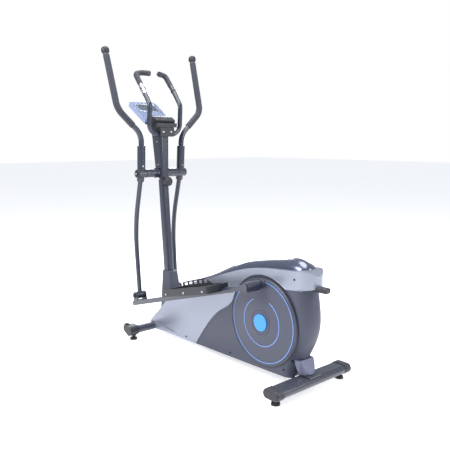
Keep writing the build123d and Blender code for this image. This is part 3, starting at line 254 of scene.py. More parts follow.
FINISHES: dict[str, Finish] = {
    "frame_paint": Finish("frame_paint", (0.016, 0.022, 0.044), (0.010, 0.014, 0.029), 0.32,
                          Texture.PAINT, 900.0, 0.00003, 0.1, coat=0.45, coat_roughness=0.18),
    "stabilizer_paint": Finish("stabilizer_paint", (0.045, 0.054, 0.088), (0.030, 0.036, 0.062), 0.36,
                               Texture.PAINT, 900.0, 0.00003, 0.1, coat=0.35, coat_roughness=0.2),
    "silver_shell": Finish("silver_shell", (0.285, 0.305, 0.375), (0.235, 0.253, 0.320), 0.36,
                           Texture.SMOOTH, 1400.0, 0.00001, 0.08, metallic=0.55, coat=0.35,
                           coat_roughness=0.22),
    "dark_shell": Finish("dark_shell", (0.054, 0.060, 0.092), (0.042, 0.047, 0.074), 0.44,
                         Texture.GRAIN, 1100.0, 0.00006, 0.15, metallic=0.15),
    "gloss_cover": Finish("gloss_cover", (0.090, 0.103, 0.165), (0.062, 0.072, 0.120), 0.24,
                          Texture.SMOOTH, 1200.0, 0.00001, 0.06, metallic=0.55, coat=0.8,
                          coat_roughness=0.08),
    "black_plastic": Finish("black_plastic", (0.016, 0.018, 0.026), (0.010, 0.011, 0.016), 0.46,
                            Texture.GRAIN, 900.0, 0.00008, 0.2),
    "disc_plastic": Finish("disc_plastic", (0.058, 0.062, 0.096), (0.046, 0.050, 0.078), 0.42,
                           Texture.GRAIN, 1300.0, 0.00005, 0.12, metallic=0.1),
    "grip_foam": Finish("grip_foam", (0.026, 0.030, 0.046), (0.014, 0.016, 0.028), 0.72,
                        Texture.FOAM, 750.0, 0.00016, 0.2, sheen=0.25),
    "rubber": Finish("rubber", (0.013, 0.013, 0.016), (0.008, 0.008, 0.010), 0.68,
                     Texture.GRAIN, 500.0, 0.00008, 0.2),
    "steel": Finish("steel", (0.50, 0.51, 0.54), (0.38, 0.39, 0.42), 0.34,
                    Texture.BRUSHED, 700.0, 0.00002, 0.2, metallic=1.0),
    "chrome": Finish("chrome", (0.80, 0.82, 0.86), (0.70, 0.72, 0.77), 0.16,
                     Texture.BRUSHED, 900.0, 0.00001, 0.1, metallic=1.0),
    "black_oxide": Finish("black_oxide", (0.014, 0.015, 0.022), (0.008, 0.009, 0.013), 0.38,
                          Texture.PAINT, 900.0, 0.00003, 0.1, metallic=0.3),
    "foot_cover": Finish("foot_cover", (0.130, 0.140, 0.220), (0.105, 0.113, 0.180), 0.40,
                         Texture.GRAIN, 1100.0, 0.00005, 0.12, metallic=0.2),
    "cast_iron": Finish("cast_iron", (0.16, 0.16, 0.17), (0.10, 0.10, 0.11), 0.45,
                        Texture.GRAIN, 500.0, 0.0001, 0.2, metallic=0.9),
    "aluminium": Finish("aluminium", (0.58, 0.59, 0.62), (0.46, 0.47, 0.50), 0.38,
                        Texture.BRUSHED, 500.0, 0.00003, 0.2, metallic=1.0),
    "blue_trim": Finish("blue_trim", (0.010, 0.270, 0.920), (0.008, 0.220, 0.800), 0.34,
                        Texture.SMOOTH, 900.0, 0.00001, 0.06, coat=0.3),
    "ring_trim": Finish("ring_trim", (0.150, 0.350, 0.820), (0.120, 0.290, 0.720), 0.34,
                        Texture.SMOOTH, 900.0, 0.00001, 0.06, coat=0.3),
    "console_silver": Finish("console_silver", (0.300, 0.365, 0.560), (0.240, 0.300, 0.480), 0.36,
                             Texture.SMOOTH, 1300.0, 0.00001, 0.08, metallic=0.35, coat=0.3),
    "button": Finish("button", (0.040, 0.046, 0.070), (0.026, 0.030, 0.048), 0.55,
                     Texture.GRAIN, 900.0, 0.00005, 0.15),
    "display": Finish("display", (0.090, 0.125, 0.175), (0.060, 0.085, 0.125), 0.12,
                      Texture.SMOOTH, 800.0, 0.000005, 0.03, coat=1.0, coat_roughness=0.04, dust=0.04),
}


class Palette:
    """Materials by slot name, each made when it is first asked for."""

    def __init__(self) -> None:
        """Start with no materials made."""
        self.made: dict[str, bpy.types.Material] = {}

    def get(self, slot: str) -> bpy.types.Material:
        """The material of a slot."""
        if slot not in self.made:
            self.made[slot] = FINISHES[slot].build()
        return self.made[slot]


PALETTE = Palette()


# ---------------------------------------------------------------- places on the frame
class Places:
    """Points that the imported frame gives: joints, and the links between them."""

    def __init__(self) -> None:
        """Read each joint's place from the frame."""
        self.joints = {j["name"]: Vector(j["pos_m"]) for j in frame["joints"] if "pos_m" in j}
        self.crank = self.joints["crank_spin"]
        self.pivot = self.joints["left_swing_pivot"].copy()
        self.pivot.y = 0.0

    def down(self, side: str) -> Vector:
        """Unit vector from the swing pivot towards the front joint, on one side."""
        return (self.joints[f"{side}_pedal_pivot"] - self.joints[f"{side}_swing_pivot"]).normalized()

    def on_arm(self, side: str, down: float, ahead: float, out: float) -> Vector:
        """Point beside a swing arm.

        Args:
            side: The side's name.
            down: Distance down from the pivot, along the arm's centre line.
            ahead: Distance ahead of that line.
            out: Distance from the centre plane.

        Returns:
            The point, at rest.
        """
        along = self.down(side)
        ahead_way = Vector((along.z, 0.0, -along.x))
        point = self.pivot + along * down + ahead_way * ahead
        point.y = SIDES[side] * out
        return point

    def tray(self, side: str) -> Matrix:
        """Frame of a pedal arm: origin at its front joint, x to the crank pin, z up."""
        joint = self.joints[f"{side}_pedal_pivot"]
        pin = self.crank + Vector((0.0, 0.0, -SIDES[side] * CrankDiscs.crank_radius))
        along = Vector((pin.x - joint.x, 0.0, pin.z - joint.z)).normalized()
        up = Vector((-along.z, 0.0, along.x))
        turn = Matrix((along, Vector((0.0, 1.0, 0.0)), up)).transposed()
        return Matrix.Translation((joint.x, 0.0, joint.z)) @ turn.to_4x4()


# ---------------------------------------------------------------- geometry trees
@dataclass
class GeometryTree:
    """A geometry node tree built in the script, with named inputs."""

    name: str
    floats: Sequence[str]

    def __post_init__(self) -> None:
        """Make the empty tree and its sockets."""
        self.group = bpy.data.node_groups.new(self.name, "GeometryNodeTree")
        face = self.group.interface
        face.new_socket("Geometry", in_out="INPUT", socket_type="NodeSocketGeometry")
        for name in self.floats:
            kind = "NodeSocketInt" if name.startswith("Count") else "NodeSocketFloat"
            face.new_socket(name, in_out="INPUT", socket_type=kind)
        face.new_socket("Material", in_out="INPUT", socket_type="NodeSocketMaterial")
        face.new_socket("Geometry", in_out="OUTPUT", socket_type="NodeSocketGeometry")
        self.build = Tree(self.group)
        self.given = self.build.node("NodeGroupInput").outputs

    def close(self, geometry: bpy.types.NodeSocket, smooth: bool) -> None:
        """End the tree: real geometry, shading and material."""
        real = self.build.node("GeometryNodeRealizeInstances", {0: geometry}).outputs[0]
        shaded = self.build.node("GeometryNodeSetShadeSmooth", {"Geometry": real, "Shade Smooth": smooth})
        dressed = self.build.node("GeometryNodeSetMaterial", {"Geometry": shaded.outputs[0],
                                                              "Material": self.given["Material"]})
        self.build.node("NodeGroupOutput", {0: dressed.outputs[0]})

    def run(self, mesh: bpy.types.Mesh, name: str, slot: str, **values: float) -> bpy.types.Object:
        """Run the tree on a mesh and keep the result as a plain mesh.

        Args:
            mesh: The points or paths that the tree works on.
            name: The new piece's name.
            slot: The material slot of the piece.
            values: The tree's inputs, with underscores for spaces.

        Returns:
            The finished object, with no modifier left.
        """
        piece = bpy.data.objects.new(name, mesh)
        bpy.context.scene.collection.objects.link(piece)
        modifier = piece.modifiers.new("shape", "NODES")
        modifier.node_group = self.group
        sockets = {item.name: item.identifier for item in self.group.interface.items_tree
                   if item.item_type == "SOCKET" and item.in_out == "INPUT"}
        for key, value in values.items():
            modifier[sockets[key.replace("_", " ")]] = value
        modifier[sockets["Material"]] = PALETTE.get(slot)
        graph = bpy.context.evaluated_depsgraph_get()
        result = bpy.data.meshes.new_from_object(piece.evaluated_get(graph), depsgraph=graph)
        piece.modifiers.clear()
        piece.data = result
        tidy_mesh(result)
        return piece


def bead_tree() -> GeometryTree:
    """Round bead that follows the edges of a path."""
    tree = GeometryTree("bead_along_path", ("Radius",))
    path = tree.build.node("GeometryNodeMeshToCurve", {"Mesh": tree.given["Geometry"]}).outputs[0]
    ring = tree.build.node("GeometryNodeCurvePrimitiveCircle", {"Resolution": 10,
                                                                "Radius": tree.given["Radius"]})
    tube = tree.build.node("GeometryNodeCurveToMesh", {"Curve": path, "Profile Curve": ring.outputs[0],
                                                       "Fill Caps": True})
    tree.close(tube.outputs[0], True)
    return tree


def bolt_tree() -> GeometryTree:
    """Button-head bolts with a hexagon socket, one on each point, facing its own way."""
    tree = GeometryTree("bolt_heads", ("Radius", "Height"))
    build, given = tree.build, tree.given
    crown = build.maths("MULTIPLY", given["Radius"], 0.72)
    hexagon = build.maths("MULTIPLY", given["Radius"], 0.42)
    head = build.node("GeometryNodeMeshCone", {"Vertices": 28, "Side Segments": 1, "Fill Segments": 1,
                                               "Radius Top": crown, "Radius Bottom": given["Radius"],
                                               "Depth": given["Height"]}).outputs[0]
    socket = build.node("GeometryNodeMeshCylinder", {"Vertices": 6, "Radius": hexagon,
                                                     "Depth": given["Height"]}).outputs[0]
    lift = build.node("ShaderNodeCombineXYZ", {2: given["Height"]}).outputs[0]
    lifted = build.node("GeometryNodeTransform", {"Geometry": socket, "Translation": lift}).outputs[0]
    cut = build.node("GeometryNodeMeshBoolean", {}, operation="DIFFERENCE")
    build.tree.links.new(head, cut.inputs[0])
    build.tree.links.new(lifted, cut.inputs[1])
    facing = build.node("GeometryNodeInputNamedAttribute", {"Name": "facing"}, data_type="FLOAT_VECTOR")
    turn = build.node("FunctionNodeAlignRotationToVector", {"Vector": facing.outputs[0]}, axis="Z")
    placed = build.node("GeometryNodeInstanceOnPoints", {"Points": given["Geometry"],
                                                         "Instance": cut.outputs[0],
                                                         "Rotation": turn.outputs[0]})
    tree.close(placed.outputs[0], False)
    return tree


def rib_tree() -> GeometryTree:
    """Small blocks, one on each point, facing its own way."""
    tree = GeometryTree("ribs", ("Width", "Length", "Height"))
    build, given = tree.build, tree.given
    size = build.node("ShaderNodeCombineXYZ", {0: given["Width"], 1: given["Length"], 2: given["Height"]})
    block = build.node("GeometryNodeMeshCube", {"Size": size.outputs[0]}).outputs[0]
    facing = build.node("GeometryNodeInputNamedAttribute", {"Name": "facing"}, data_type="FLOAT_VECTOR")
    along = build.node("GeometryNodeInputNamedAttribute", {"Name": "along"}, data_type="FLOAT_VECTOR")
    first = build.node("FunctionNodeAlignRotationToVector", {"Vector": facing.outputs[0]}, axis="Z")
    second = build.node("FunctionNodeAlignRotationToVector", {"Rotation": first.outputs[0],
                                                              "Vector": along.outputs[0]},
                        axis="Y", pivot_axis="Z")
    placed = build.node("GeometryNodeInstanceOnPoints", {"Points": given["Geometry"], "Instance": block,
                                                         "Rotation": second.outputs[0]})
    tree.close(placed.outputs[0], False)
    return tree


def tread_tree() -> GeometryTree:
    """Raised lozenges in rows, turned one way and the other, on a flat floor."""
    tree = GeometryTree("tread_lozenges", ("Count Along", "Count Across", "Length", "Width", "Pad Length",
                                           "Pad Width", "Pad Height"))
    build, given = tree.build, tree.given
    grid = build.node("GeometryNodeMeshGrid", {"Size X": given["Length"], "Size Y": given["Width"],
                                               "Vertices X": given["Count Along"],
                                               "Vertices Y": given["Count Across"]}).outputs[0]
    size = build.node("ShaderNodeCombineXYZ", {0: given["Pad Length"], 1: given["Pad Width"],
                                               2: given["Pad Height"]})
    pad = build.node("GeometryNodeMeshCube", {"Size": size.outputs[0]}).outputs[0]
    index = build.node("GeometryNodeInputIndex").outputs[0]
    column = build.maths("FLOOR", build.maths("DIVIDE", index, given["Count Across"]), 0.0)
    odd = build.maths("MODULO", build.maths("ADD", index, column), 2.0)
    angle = build.maths("MULTIPLY", build.maths("SUBTRACT", odd, 0.5), math.radians(90.0))
    turn = build.node("ShaderNodeCombineXYZ", {2: angle}).outputs[0]
    rotation = build.node("FunctionNodeEulerToRotation", {0: turn}).outputs[0]
    placed = build.node("GeometryNodeInstanceOnPoints", {"Points": grid, "Instance": pad,
                                                         "Rotation": rotation})
    tree.close(placed.outputs[0], False)
    return tree


# ---------------------------------------------------------------- mesh helpers
def tidy_mesh(mesh: bpy.types.Mesh) -> None:
    """Merge doubles and turn every face outward."""
    work = bmesh.new()
    work.from_mesh(mesh)
    bmesh.ops.remove_doubles(work, verts=work.verts, dist=1e-6)
    bmesh.ops.recalc_face_normals(work, faces=work.faces)
    work.to_mesh(mesh)
    work.free()


def points_mesh(name: str, points: Sequence[Vector], facing: Sequence[Vector],
                along: Sequence[Vector] | None = None) -> bpy.types.Mesh:
    """Loose points that carry the way they face, and the way they lie."""
    mesh = bpy.data.meshes.new(name)
    mesh.from_pydata([tuple(p) for p in points], [], [])
    for key, ways in (("facing", facing), ("along", along or facing)):
        attribute = mesh.attributes.new(key, "FLOAT_VECTOR", "POINT")
        attribute.data.foreach_set("vector", [value for way in ways for value in way])
    return mesh


def path_mesh(name: str, paths: Sequence[Sequence[Vector]], closed: bool = False) -> bpy.types.Mesh:
    """Edges along each path, joined end to start where it is closed."""
    points: list[tuple] = []
    edges: list[tuple[int, int]] = []
    for path in paths:
        first = len(points)
        points += [tuple(p) for p in path]
        edges += [(first + i, first + i + 1) for i in range(len(path) - 1)]
        if closed:
            edges.append((first + len(path) - 1, first))
    mesh = bpy.data.meshes.new(name)
    mesh.from_pydata(points, edges, [])
    return mesh


def rounded_route(corners: Sequence[Vector], radii: Sequence[float], step: float) -> list[Vector]:
    """Even points along straight runs joined by arcs.

    Args:
        corners: The route's corner points, its two ends among them.
        radii: Bend radius at each corner between the ends.
        step: Distance between points.

    Returns:
        Points from the first corner to the last.
    """
    route = [corners[0]]
    for before, here, after, radius in zip(corners, corners[1:], corners[2:], radii):
        arrive, leave = (here - before).normalized(), (after - here).normalized()
        bend = arrive.angle(leave)
        trim = radius * math.tan(bend / 2)
        centre = here + (leave - arrive).normalized() * (radius / math.cos(bend / 2))
        start = here - arrive * trim
        spoke, axis = start - centre, arrive.cross(leave).normalized()
        count = max(2, round(radius * bend / step))
        route += [centre + Matrix.Rotation(bend * i / count, 3, axis) @ spoke for i in range(count + 1)]
    route.append(corners[-1])
    even: list[Vector] = []
    for first, second in zip(route, route[1:]):
        pieces = max(1, round((second - first).length / step))
        even += [first.lerp(second, i / pieces) for i in range(pieces)]
    return even + [route[-1]]


def swept_skin(name: str, route: Sequence[Vector], radii: Sequence[float], sides: int = 36) -> bpy.types.Mesh:
    """Closed round skin along a route, with its own radius at each point."""
    work = bmesh.new()
    rings = []
    across = route[1] - route[0]
    normal = across.orthogonal().normalized()
    for index, (point, radius) in enumerate(zip(route, radii)):
        ahead = route[min(index + 1, len(route) - 1)] - route[max(index - 1, 0)]
        normal = (normal - ahead.normalized() * normal.dot(ahead.normalized())).normalized()
        binormal = ahead.normalized().cross(normal)
        ring = []
        for turn in range(sides):
            angle = 2 * math.pi * turn / sides
            offset = normal * math.cos(angle) + binormal * math.sin(angle)
            ring.append(work.verts.new(point + offset * radius))
        rings.append(ring)
    for first, second in zip(rings, rings[1:]):
        for turn in range(sides):
            after = (turn + 1) % sides
            work.faces.new((first[turn], first[after], second[after], second[turn]))
    work.faces.new(rings[0][::-1])
    work.faces.new(rings[-1])
    bmesh.ops.recalc_face_normals(work, faces=work.faces)
    mesh = bpy.data.meshes.new(name)
    work.to_mesh(mesh)
    work.free()
    for polygon in mesh.polygons:
        polygon.use_smooth = len(polygon.vertices) == 4
    return mesh


def new_piece(mesh: bpy.types.Mesh, name: str, slot: str) -> bpy.types.Object:
    """Link a mesh as a piece with its material."""
    piece = bpy.data.objects.new(name, mesh)
    bpy.context.scene.collection.objects.link(piece)
    mesh.materials.clear()
    mesh.materials.append(PALETTE.get(slot))
    return piece


def settle(piece: bpy.types.Object, body: str) -> bpy.types.Object:
    """Put a finished piece on its body."""
    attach(piece, body)
    LOG.info("%s rides on %s, %d faces", piece.name, body, len(piece.data.polygons))
    return piece


def circle(centre: Vector, radius: float, start: float = 0.0, end: float = 360.0,
           count: int = 96) -> list[Vector]:
    """Points on an upright circle across Y, by angle from the rear, in degrees."""
    whole = abs(end - start) >= 360.0
    steps = count if whole else count + 1
    turns = [math.radians(start + (end - start) * i / count) for i in range(steps)]
    return [centre + Vector((radius * math.cos(t), 0.0, radius * math.sin(t))) for t in turns]


PLACES = Places()
BEADS = bead_tree()
BOLTS = bolt_tree()
RIBS = rib_tree()
TREADS = tread_tree()


# ---------------------------------------------------------------- sub-assemblies
@dataclass
class FrameDress:
    """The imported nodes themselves: each gets the material of its slot."""

    def build(self) -> None:
        """Give every node its material."""
        for row in frame["record"]["subparts"]:
            node = frame["nodes"][row["node"]]
            node.data.materials.clear()
            node.data.materials.append(PALETTE.get(row["material_slot"]))
            LOG.info("%s dressed in %s", row["node"], row["material_slot"])


@dataclass
class HandleGrips:
    """Long foam sleeves on the two swinging handles."""

    bend: tuple = (-0.231, 0.0067, 0.146)
    elbow: tuple = (-0.375, 0.0222, 0.301)
    tip: tuple = (-0.702, 0.1405, 0.311)
    elbow_radius: float = 0.100
    start_share: float = 0.34
    cap_depth: float = 0.022
    radius: float = 0.0195
    step: float = 0.004

    def route(self, side: str) -> list[Vector]:
        """Centre line of one sleeve, from below the elbow to its cap."""
        bend, elbow, tip = (PLACES.on_arm(side, *place) for place in (self.bend, self.elbow, self.tip))
        foot = bend.lerp(elbow, self.start_share)
        top = tip - (tip - elbow).normalized() * self.cap_depth
        return rounded_route([foot, elbow, top], [self.elbow_radius], self.step)

    def build(self) -> None:
        """Make both sleeves, with rolled ends and a faint swell along their length."""
        for side in SIDES:
            route = self.route(side)
            last = len(route) - 1
            radii = [self.radius * foam_swell(i, last) for i in range(last + 1)]
            name = f"{side}_foam_sleeve"
            sleeve = new_piece(swept_skin(name, route, radii), name, "grip_foam")
            settle(sleeve, f"{side}_swing")
            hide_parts(f"{side}_handle_grip")


def foam_swell(index: int, last: int) -> float:
    """Share of a foam sleeve's radius at one ring: rolled ends and slow swells."""
    edge = min(index, last - index)
    roll = (0.90, 0.965, 0.99)[edge] if edge < 3 else 1.0
    return roll * (0.994 + 0.006 * math.sin(index * 0.23))


@dataclass
class FixedGrips:
    """Foam grips and pulse sensors of the fixed handlebar."""

    corners: tuple = ((-0.058, 0.038, 1.606), (-0.100, 0.062, 1.612), (-0.100, 0.110, 1.603),
                      (0.004, 0.112, 1.476))
    radii: tuple = (0.018, 0.022)
    share: float = 0.52
    radius: float = 0.0166
    bar_radius: float = 0.014
    plate_length: float = 0.034
    plate_gap: float = 0.007
    cap: float = 0.004
    step: float = 0.003

    def route(self, sign: int) -> list[Vector]:
        """Corner points of one half of the bar's top."""
        front = PLACES.crank.x - Casing.crank_station
        return [Vector((front + x, sign * y, z)) for x, y, z in self.corners]

    def build(self) -> None:
        """Make the foam skins, and the dark bands between the sensor plates."""
        work = bmesh.new()
        band_centres, band_ways = [], []
        for sign in SIDES.values():
            corners = self.route(sign)
            foot = corners[2].lerp(corners[3], self.share)
            tip = corners[0] + (corners[0] - corners[1]).normalized() * self.cap
            route = rounded_route([tip, *corners[1:3], foot], self.radii, self.step)
            last = len(route) - 1
            skin = swept_skin("half", route, [self.radius * foam_swell(i, last) for i in range(last + 1)], 28)
            work.from_mesh(skin)
            run = (corners[3] - corners[2]).normalized()
            first = foot + run * 0.004
            band_centres.append(first + run * (self.plate_length + self.plate_gap / 2))
            band_ways.append(run)
        mesh = bpy.data.meshes.new("fixed_foam_grips")
        work.to_mesh(mesh)
        work.free()
        foam = new_piece(mesh, "fixed_foam_grips", "grip_foam")
        settle(foam, "frame")
        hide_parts("fixed_grips")
        self.bands(band_centres, band_ways)

    def bands(self, centres: list[Vector], ways: list[Vector]) -> None:
        """Dark collars that part the sensor plates."""
        half = self.plate_gap / 2 - 0.0004
        outer = self.bar_radius + 0.0027
        work = bmesh.new()
        for centre, way in zip(centres, ways):
            route = [centre + way * half * share for share in (-1.0, -0.8, 0.8, 1.0)]
            work.from_mesh(swept_skin("band", route, [outer - 0.0008, outer, outer, outer - 0.0008], 32))
        mesh = bpy.data.meshes.new("pulse_bands")
        work.to_mesh(mesh)
        work.free()
        settle(new_piece(mesh, "pulse_bands", "black_plastic"), "frame")


@dataclass
class Casing:
    """Trim of the moulded casing: the lip along its seam and the lip at its foot."""

    crank_station: float = 0.965
    arc_radius: float = 0.239
    arc_start: float = 53.6
    arc_end: float = 156.7
    half: float = 0.076
    seam: tuple = ((0.721, 0.352), (0.623, 0.286), (0.526, 0.192), (0.417, 0.046))
    column: tuple = (1.215, 0.510)
    lip: tuple = ((-0.028, 0.084), (0.148, 0.079), (0.216, 0.069), (0.262, 0.050))

    def place(self, station: float, height: float, out: float) -> Vector:
        """Point at a station behind the front stabilizer."""
        return Vector((PLACES.crank.x - self.crank_station + station, out, height))

    def build(self) -> None:
        """Lay the seam lip and the foot lip on both sides."""
        seams, lips = [], []
        for sign in SIDES.values():
            out = sign * (self.half - 0.0006)
            centre = Vector((PLACES.crank.x, out, PLACES.crank.z))
            arc = circle(centre, self.arc_radius, self.arc_start, self.arc_end, 48)
            path = [self.place(*self.column, out), *arc]
            path += [self.place(station, height, out) for station, height in self.seam]
            seams.append(path)
            lips.append([self.place(station, height, sign * self.half) for station, height in self.lip])
        seam = BEADS.run(path_mesh("seam_lip", seams), "seam_lip", "silver_shell", Radius=0.0016)
        settle(seam, "frame")
        lip = BEADS.run(path_mesh("nose_lip", lips), "nose_lip", "silver_shell", Radius=0.0012)
        settle(lip, "frame")


@dataclass
class CrankDiscs:
    """Round covers over the cranks."""

    crank_radius = 0.195
    rim_radius: float = 0.2266
    rim_out: float = 0.0818
    steps: tuple = ((0.214, 0.0868), (0.062, 0.0982))
    boss_radius: float = 0.0215
    boss_out: float = 0.1045

    def build(self) -> None:
        """Lay the rolled rim, the shallow steps and the boss rings."""
        rims, steps = [], []
        for sign in SIDES.values():
            hub = Vector((PLACES.crank.x, 0.0, PLACES.crank.z))
            rims.append(circle(hub + Vector((0, sign * self.rim_out, 0)), self.rim_radius))
            for radius, out in self.steps:
                steps.append(circle(hub + Vector((0, sign * out, 0)), radius))
            pin = hub + Vector((0, sign * (self.boss_out - 0.0012), -sign * self.crank_radius))
            steps.append(circle(pin, self.boss_radius, count=48))
        rim = BEADS.run(path_mesh("disc_rims", rims, True), "disc_rims", "black_plastic", Radius=0.0022)
        settle(rim, "crank")
        step = BEADS.run(path_mesh("disc_steps", steps, True), "disc_steps", "disc_plastic", Radius=0.0011)
        settle(step, "crank")


@dataclass
class Footplates:
    """Treads, rim beads and screws of the two footplates."""

    start: float = 0.425
    end: float = 0.837
    inner: float = 0.125
    outer: float = 0.275
    floor: float = 0.017
    rim: float = 0.027
    wall: float = 0.006
    corner: float = 0.018
    screws: tuple = (0.47, 0.631, 0.792)
    screw_height: float = 0.004

    def build(self) -> None:
        """Dress both footplates."""
        for side, sign in SIDES.items():
            body = f"{side}_pedal"
            tray = PLACES.tray(side)
            middle = Vector(((self.start + self.end) / 2, sign * (self.inner + self.outer) / 2, self.floor))
            seed = bpy.data.meshes.new("tread_seed")
            tread = TREADS.run(seed, f"{side}_tread", "rubber", Count_Along=24, Count_Across=9,
                               Length=0.372, Width=0.116, Pad_Length=0.014, Pad_Width=0.0045,
                               Pad_Height=0.004)
            tread.data.transform(tray @ Matrix.Translation(middle))
            settle(tread, body)
            rim = BEADS.run(path_mesh("rim", [self.rim_path(tray, sign)], True), f"{side}_rim_bead",
                            "black_plastic", Radius=0.003)
            settle(rim, body)
            reach = sign * (self.outer + 0.0006)
            places = [tray @ Vector((x, reach, self.screw_height)) for x in self.screws]
            ways = [Vector((0.0, sign, 0.0))] * len(places)
            screws = BOLTS.run(points_mesh("screws", places, ways), f"{side}_tread_screws", "steel",
                               Radius=0.006, Height=0.003)
            settle(screws, body)

    def rim_path(self, tray: Matrix, sign: int) -> list[Vector]:
        """Rounded outline along the middle of the rim's top edge."""
        inset = self.wall / 2
        centre_x, centre_y = (self.start + self.end) / 2, sign * (self.inner + self.outer) / 2
        half_x = (self.end - self.start) / 2 - self.corner
        half_y = (self.outer - self.inner) / 2 - self.corner
        radius = self.corner - inset
        path = []
        for quarter, (sx, sy) in enumerate(((1, 1), (-1, 1), (-1, -1), (1, -1))):
            for part in range(7):
                angle = math.pi / 2 * (quarter + part / 6)
                path.append(tray @ Vector((centre_x + sx * half_x + radius * math.cos(angle),
                                           centre_y + sy * half_y + radius * math.sin(angle), self.rim)))
        return path


@dataclass
class Console:
    """Display bezel, display marks and button symbols."""

    tilt: float = 34.0
    face: tuple = (-0.115, 1.3875)
    display_at: float = 0.034
    display_wide: float = 0.128
    display_long: float = 0.074
    bezel: float = 0.0025
    button_at: float = -0.062
    button_step: float = 0.040

    def plane(self) -> Matrix:
        """Frame of the console's face: x to the right, y up the face, z out of it."""
        angle = math.radians(self.tilt)
        right = Vector((0.0, 1.0, 0.0))
        out = Vector((math.sin(angle), 0.0, math.cos(angle)))
        turn = Matrix((right, out.cross(right), out)).transposed()
        station, height = self.face
        place = Matrix.Translation((PLACES.crank.x - Casing.crank_station + station, 0.0, height))
        return place @ turn.to_4x4()

    def build(self) -> None:
        """Lay the bezel, the display's marks and the symbols on the keys."""
        plane = self.plane()
        outline = self.rounded(self.display_wide / 2 + 0.002, self.display_long / 2 + 0.002, 0.010)
        path = [plane @ Vector((x, y + self.display_at, 0.0)) for x, y in outline]
        bezel = BEADS.run(path_mesh("bezel", [path], True), "display_bezel", "chrome", Radius=self.bezel)
        settle(bezel, "frame")
        self.marks(plane)
        self.symbols(plane)

    @staticmethod
    def rounded(half_x: float, half_y: float, radius: float) -> list[tuple[float, float]]:
        """Rounded rectangle about the origin."""
        points = []
        for quarter, (sx, sy) in enumerate(((1, 1), (-1, 1), (-1, -1), (1, -1))):
            for part in range(6):
                angle = math.pi / 2 * (quarter + part / 5)
                points.append((sx * (half_x - radius) + radius * math.cos(angle),
                               sy * (half_y - radius) + radius * math.sin(angle)))
        return points

    def marks(self, plane: Matrix) -> None:
        """Plain seven-bar numerals and a bar graph under the lens."""
        bars = {"a": (0, 2, 0), "b": (1, 1, 1), "c": (1, -1, 1), "d": (0, -2, 0), "e": (-1, -1, 1),
                "f": (-1, 1, 1), "g": (0, 0, 0)}
        places, along = [], []
        half_w, half_h = 0.0042, 0.0038
        for column, shown in enumerate(("abged", "abcdef", "abcdef", "abgcd", "fgbc", "abcdef")):
            centre_x = -0.045 + 0.018 * column
            for bar in shown:
                dx, dy, upright = bars[bar]
                places.append(plane @ Vector((centre_x + dx * half_w, self.display_at + 0.016 + dy * half_h,
                                              -0.0004)))
                along.append(plane.to_3x3() @ (Vector((0, 1, 0)) if upright else Vector((1, 0, 0))))
        for column in range(14):
            for level in range(1 + (column * 5) % 4):
                height = self.display_at - 0.026 + 0.005 * level
                places.append(plane @ Vector((-0.052 + 0.008 * column, height, -0.0004)))
                along.append(plane.to_3x3() @ Vector((1, 0, 0)))
        out = plane.to_3x3() @ Vector((0, 0, 1))
        seed = points_mesh("marks", places, [out] * len(places), along)
        marks = RIBS.run(seed, "display_marks", "button", Width=0.0014, Length=0.0058, Height=0.0004)
        settle(marks, "frame")

    def symbols(self, plane: Matrix) -> None:
        """A raised symbol on each key: two arrow heads and a ring."""
        for name, step in (("down", -1), ("enter", 0), ("up", 1)):
            centre = Vector((step * self.button_step, self.button_at, 0.0020))
            if step == 0:
                path = [centre + Vector((0.003 * math.cos(a), 0.003 * math.sin(a), 0))
                        for a in (2 * math.pi * i / 20 for i in range(20))]
            else:
                path = [centre + Vector((x, y * step, 0)) for x, y in ((-0.004, -0.002), (0, 0.0025),
                                                                       (0.004, -0.002))]
            seed = path_mesh("symbol", [[plane @ p for p in path]], True)
            symbol = BEADS.run(seed, f"{name}_symbol", "console_silver", Radius=0.0005)
            settle(symbol, f"{name}_button")


@dataclass
class Fasteners:
    """Bolt heads that hold the mast, the handlebar and the linkage."""

    def build(self) -> None:
        """Set the bolts of each body."""
        self.frame_bolts()
        for side, sign in SIDES.items():
            out = Vector((0.0, sign, 0.0))
            rear = Vector((1.0, 0.0, 0.0))
            seed = points_mesh("bolts", [PLACES.on_arm(side, -0.045, -0.0215, 0.146)], [rear])
            bolts = BOLTS.run(seed, f"{side}_sleeve_bolts", "steel", Radius=0.0055, Height=0.003)
            settle(bolts, f"{side}_swing")
            pin = PLACES.joints[f"{side}_pedal_pivot"].copy()
            pin.y = sign * 0.1885
            head = BOLTS.run(points_mesh("bolts", [pin], [out]), f"{side}_clevis_bolt", "black_oxide",
                             Radius=0.008, Height=0.003)
            settle(head, f"{side}_pedal")

    def frame_bolts(self) -> None:
        """Bolts of the mast, the axle ends and the handlebar clamp."""
        front = PLACES.crank.x - Casing.crank_station
        places, ways = [], []
        for sign in SIDES.values():
            out = Vector((0.0, sign, 0.0))
            for station, height, reach in ((0.004, 1.060, 0.0272), (0.002, 1.200, 0.0318)):
                places.append(Vector((front + station, sign * reach, height)))
                ways.append(out)
            places.append(PLACES.pivot + Vector((0.0, sign * 0.1845, 0.0)))
            ways.append(out)
        for offset in (-0.028, 0.028):
            places.append(Vector((front + 0.0685, offset, 1.256)))
            ways.append(Vector((1.0, 0.0, 0.0)))
        bolts = BOLTS.run(points_mesh("bolts", places, ways), "mast_bolts", "steel", Radius=0.0062,
                          Height=0.0035)
        settle(bolts, "frame")


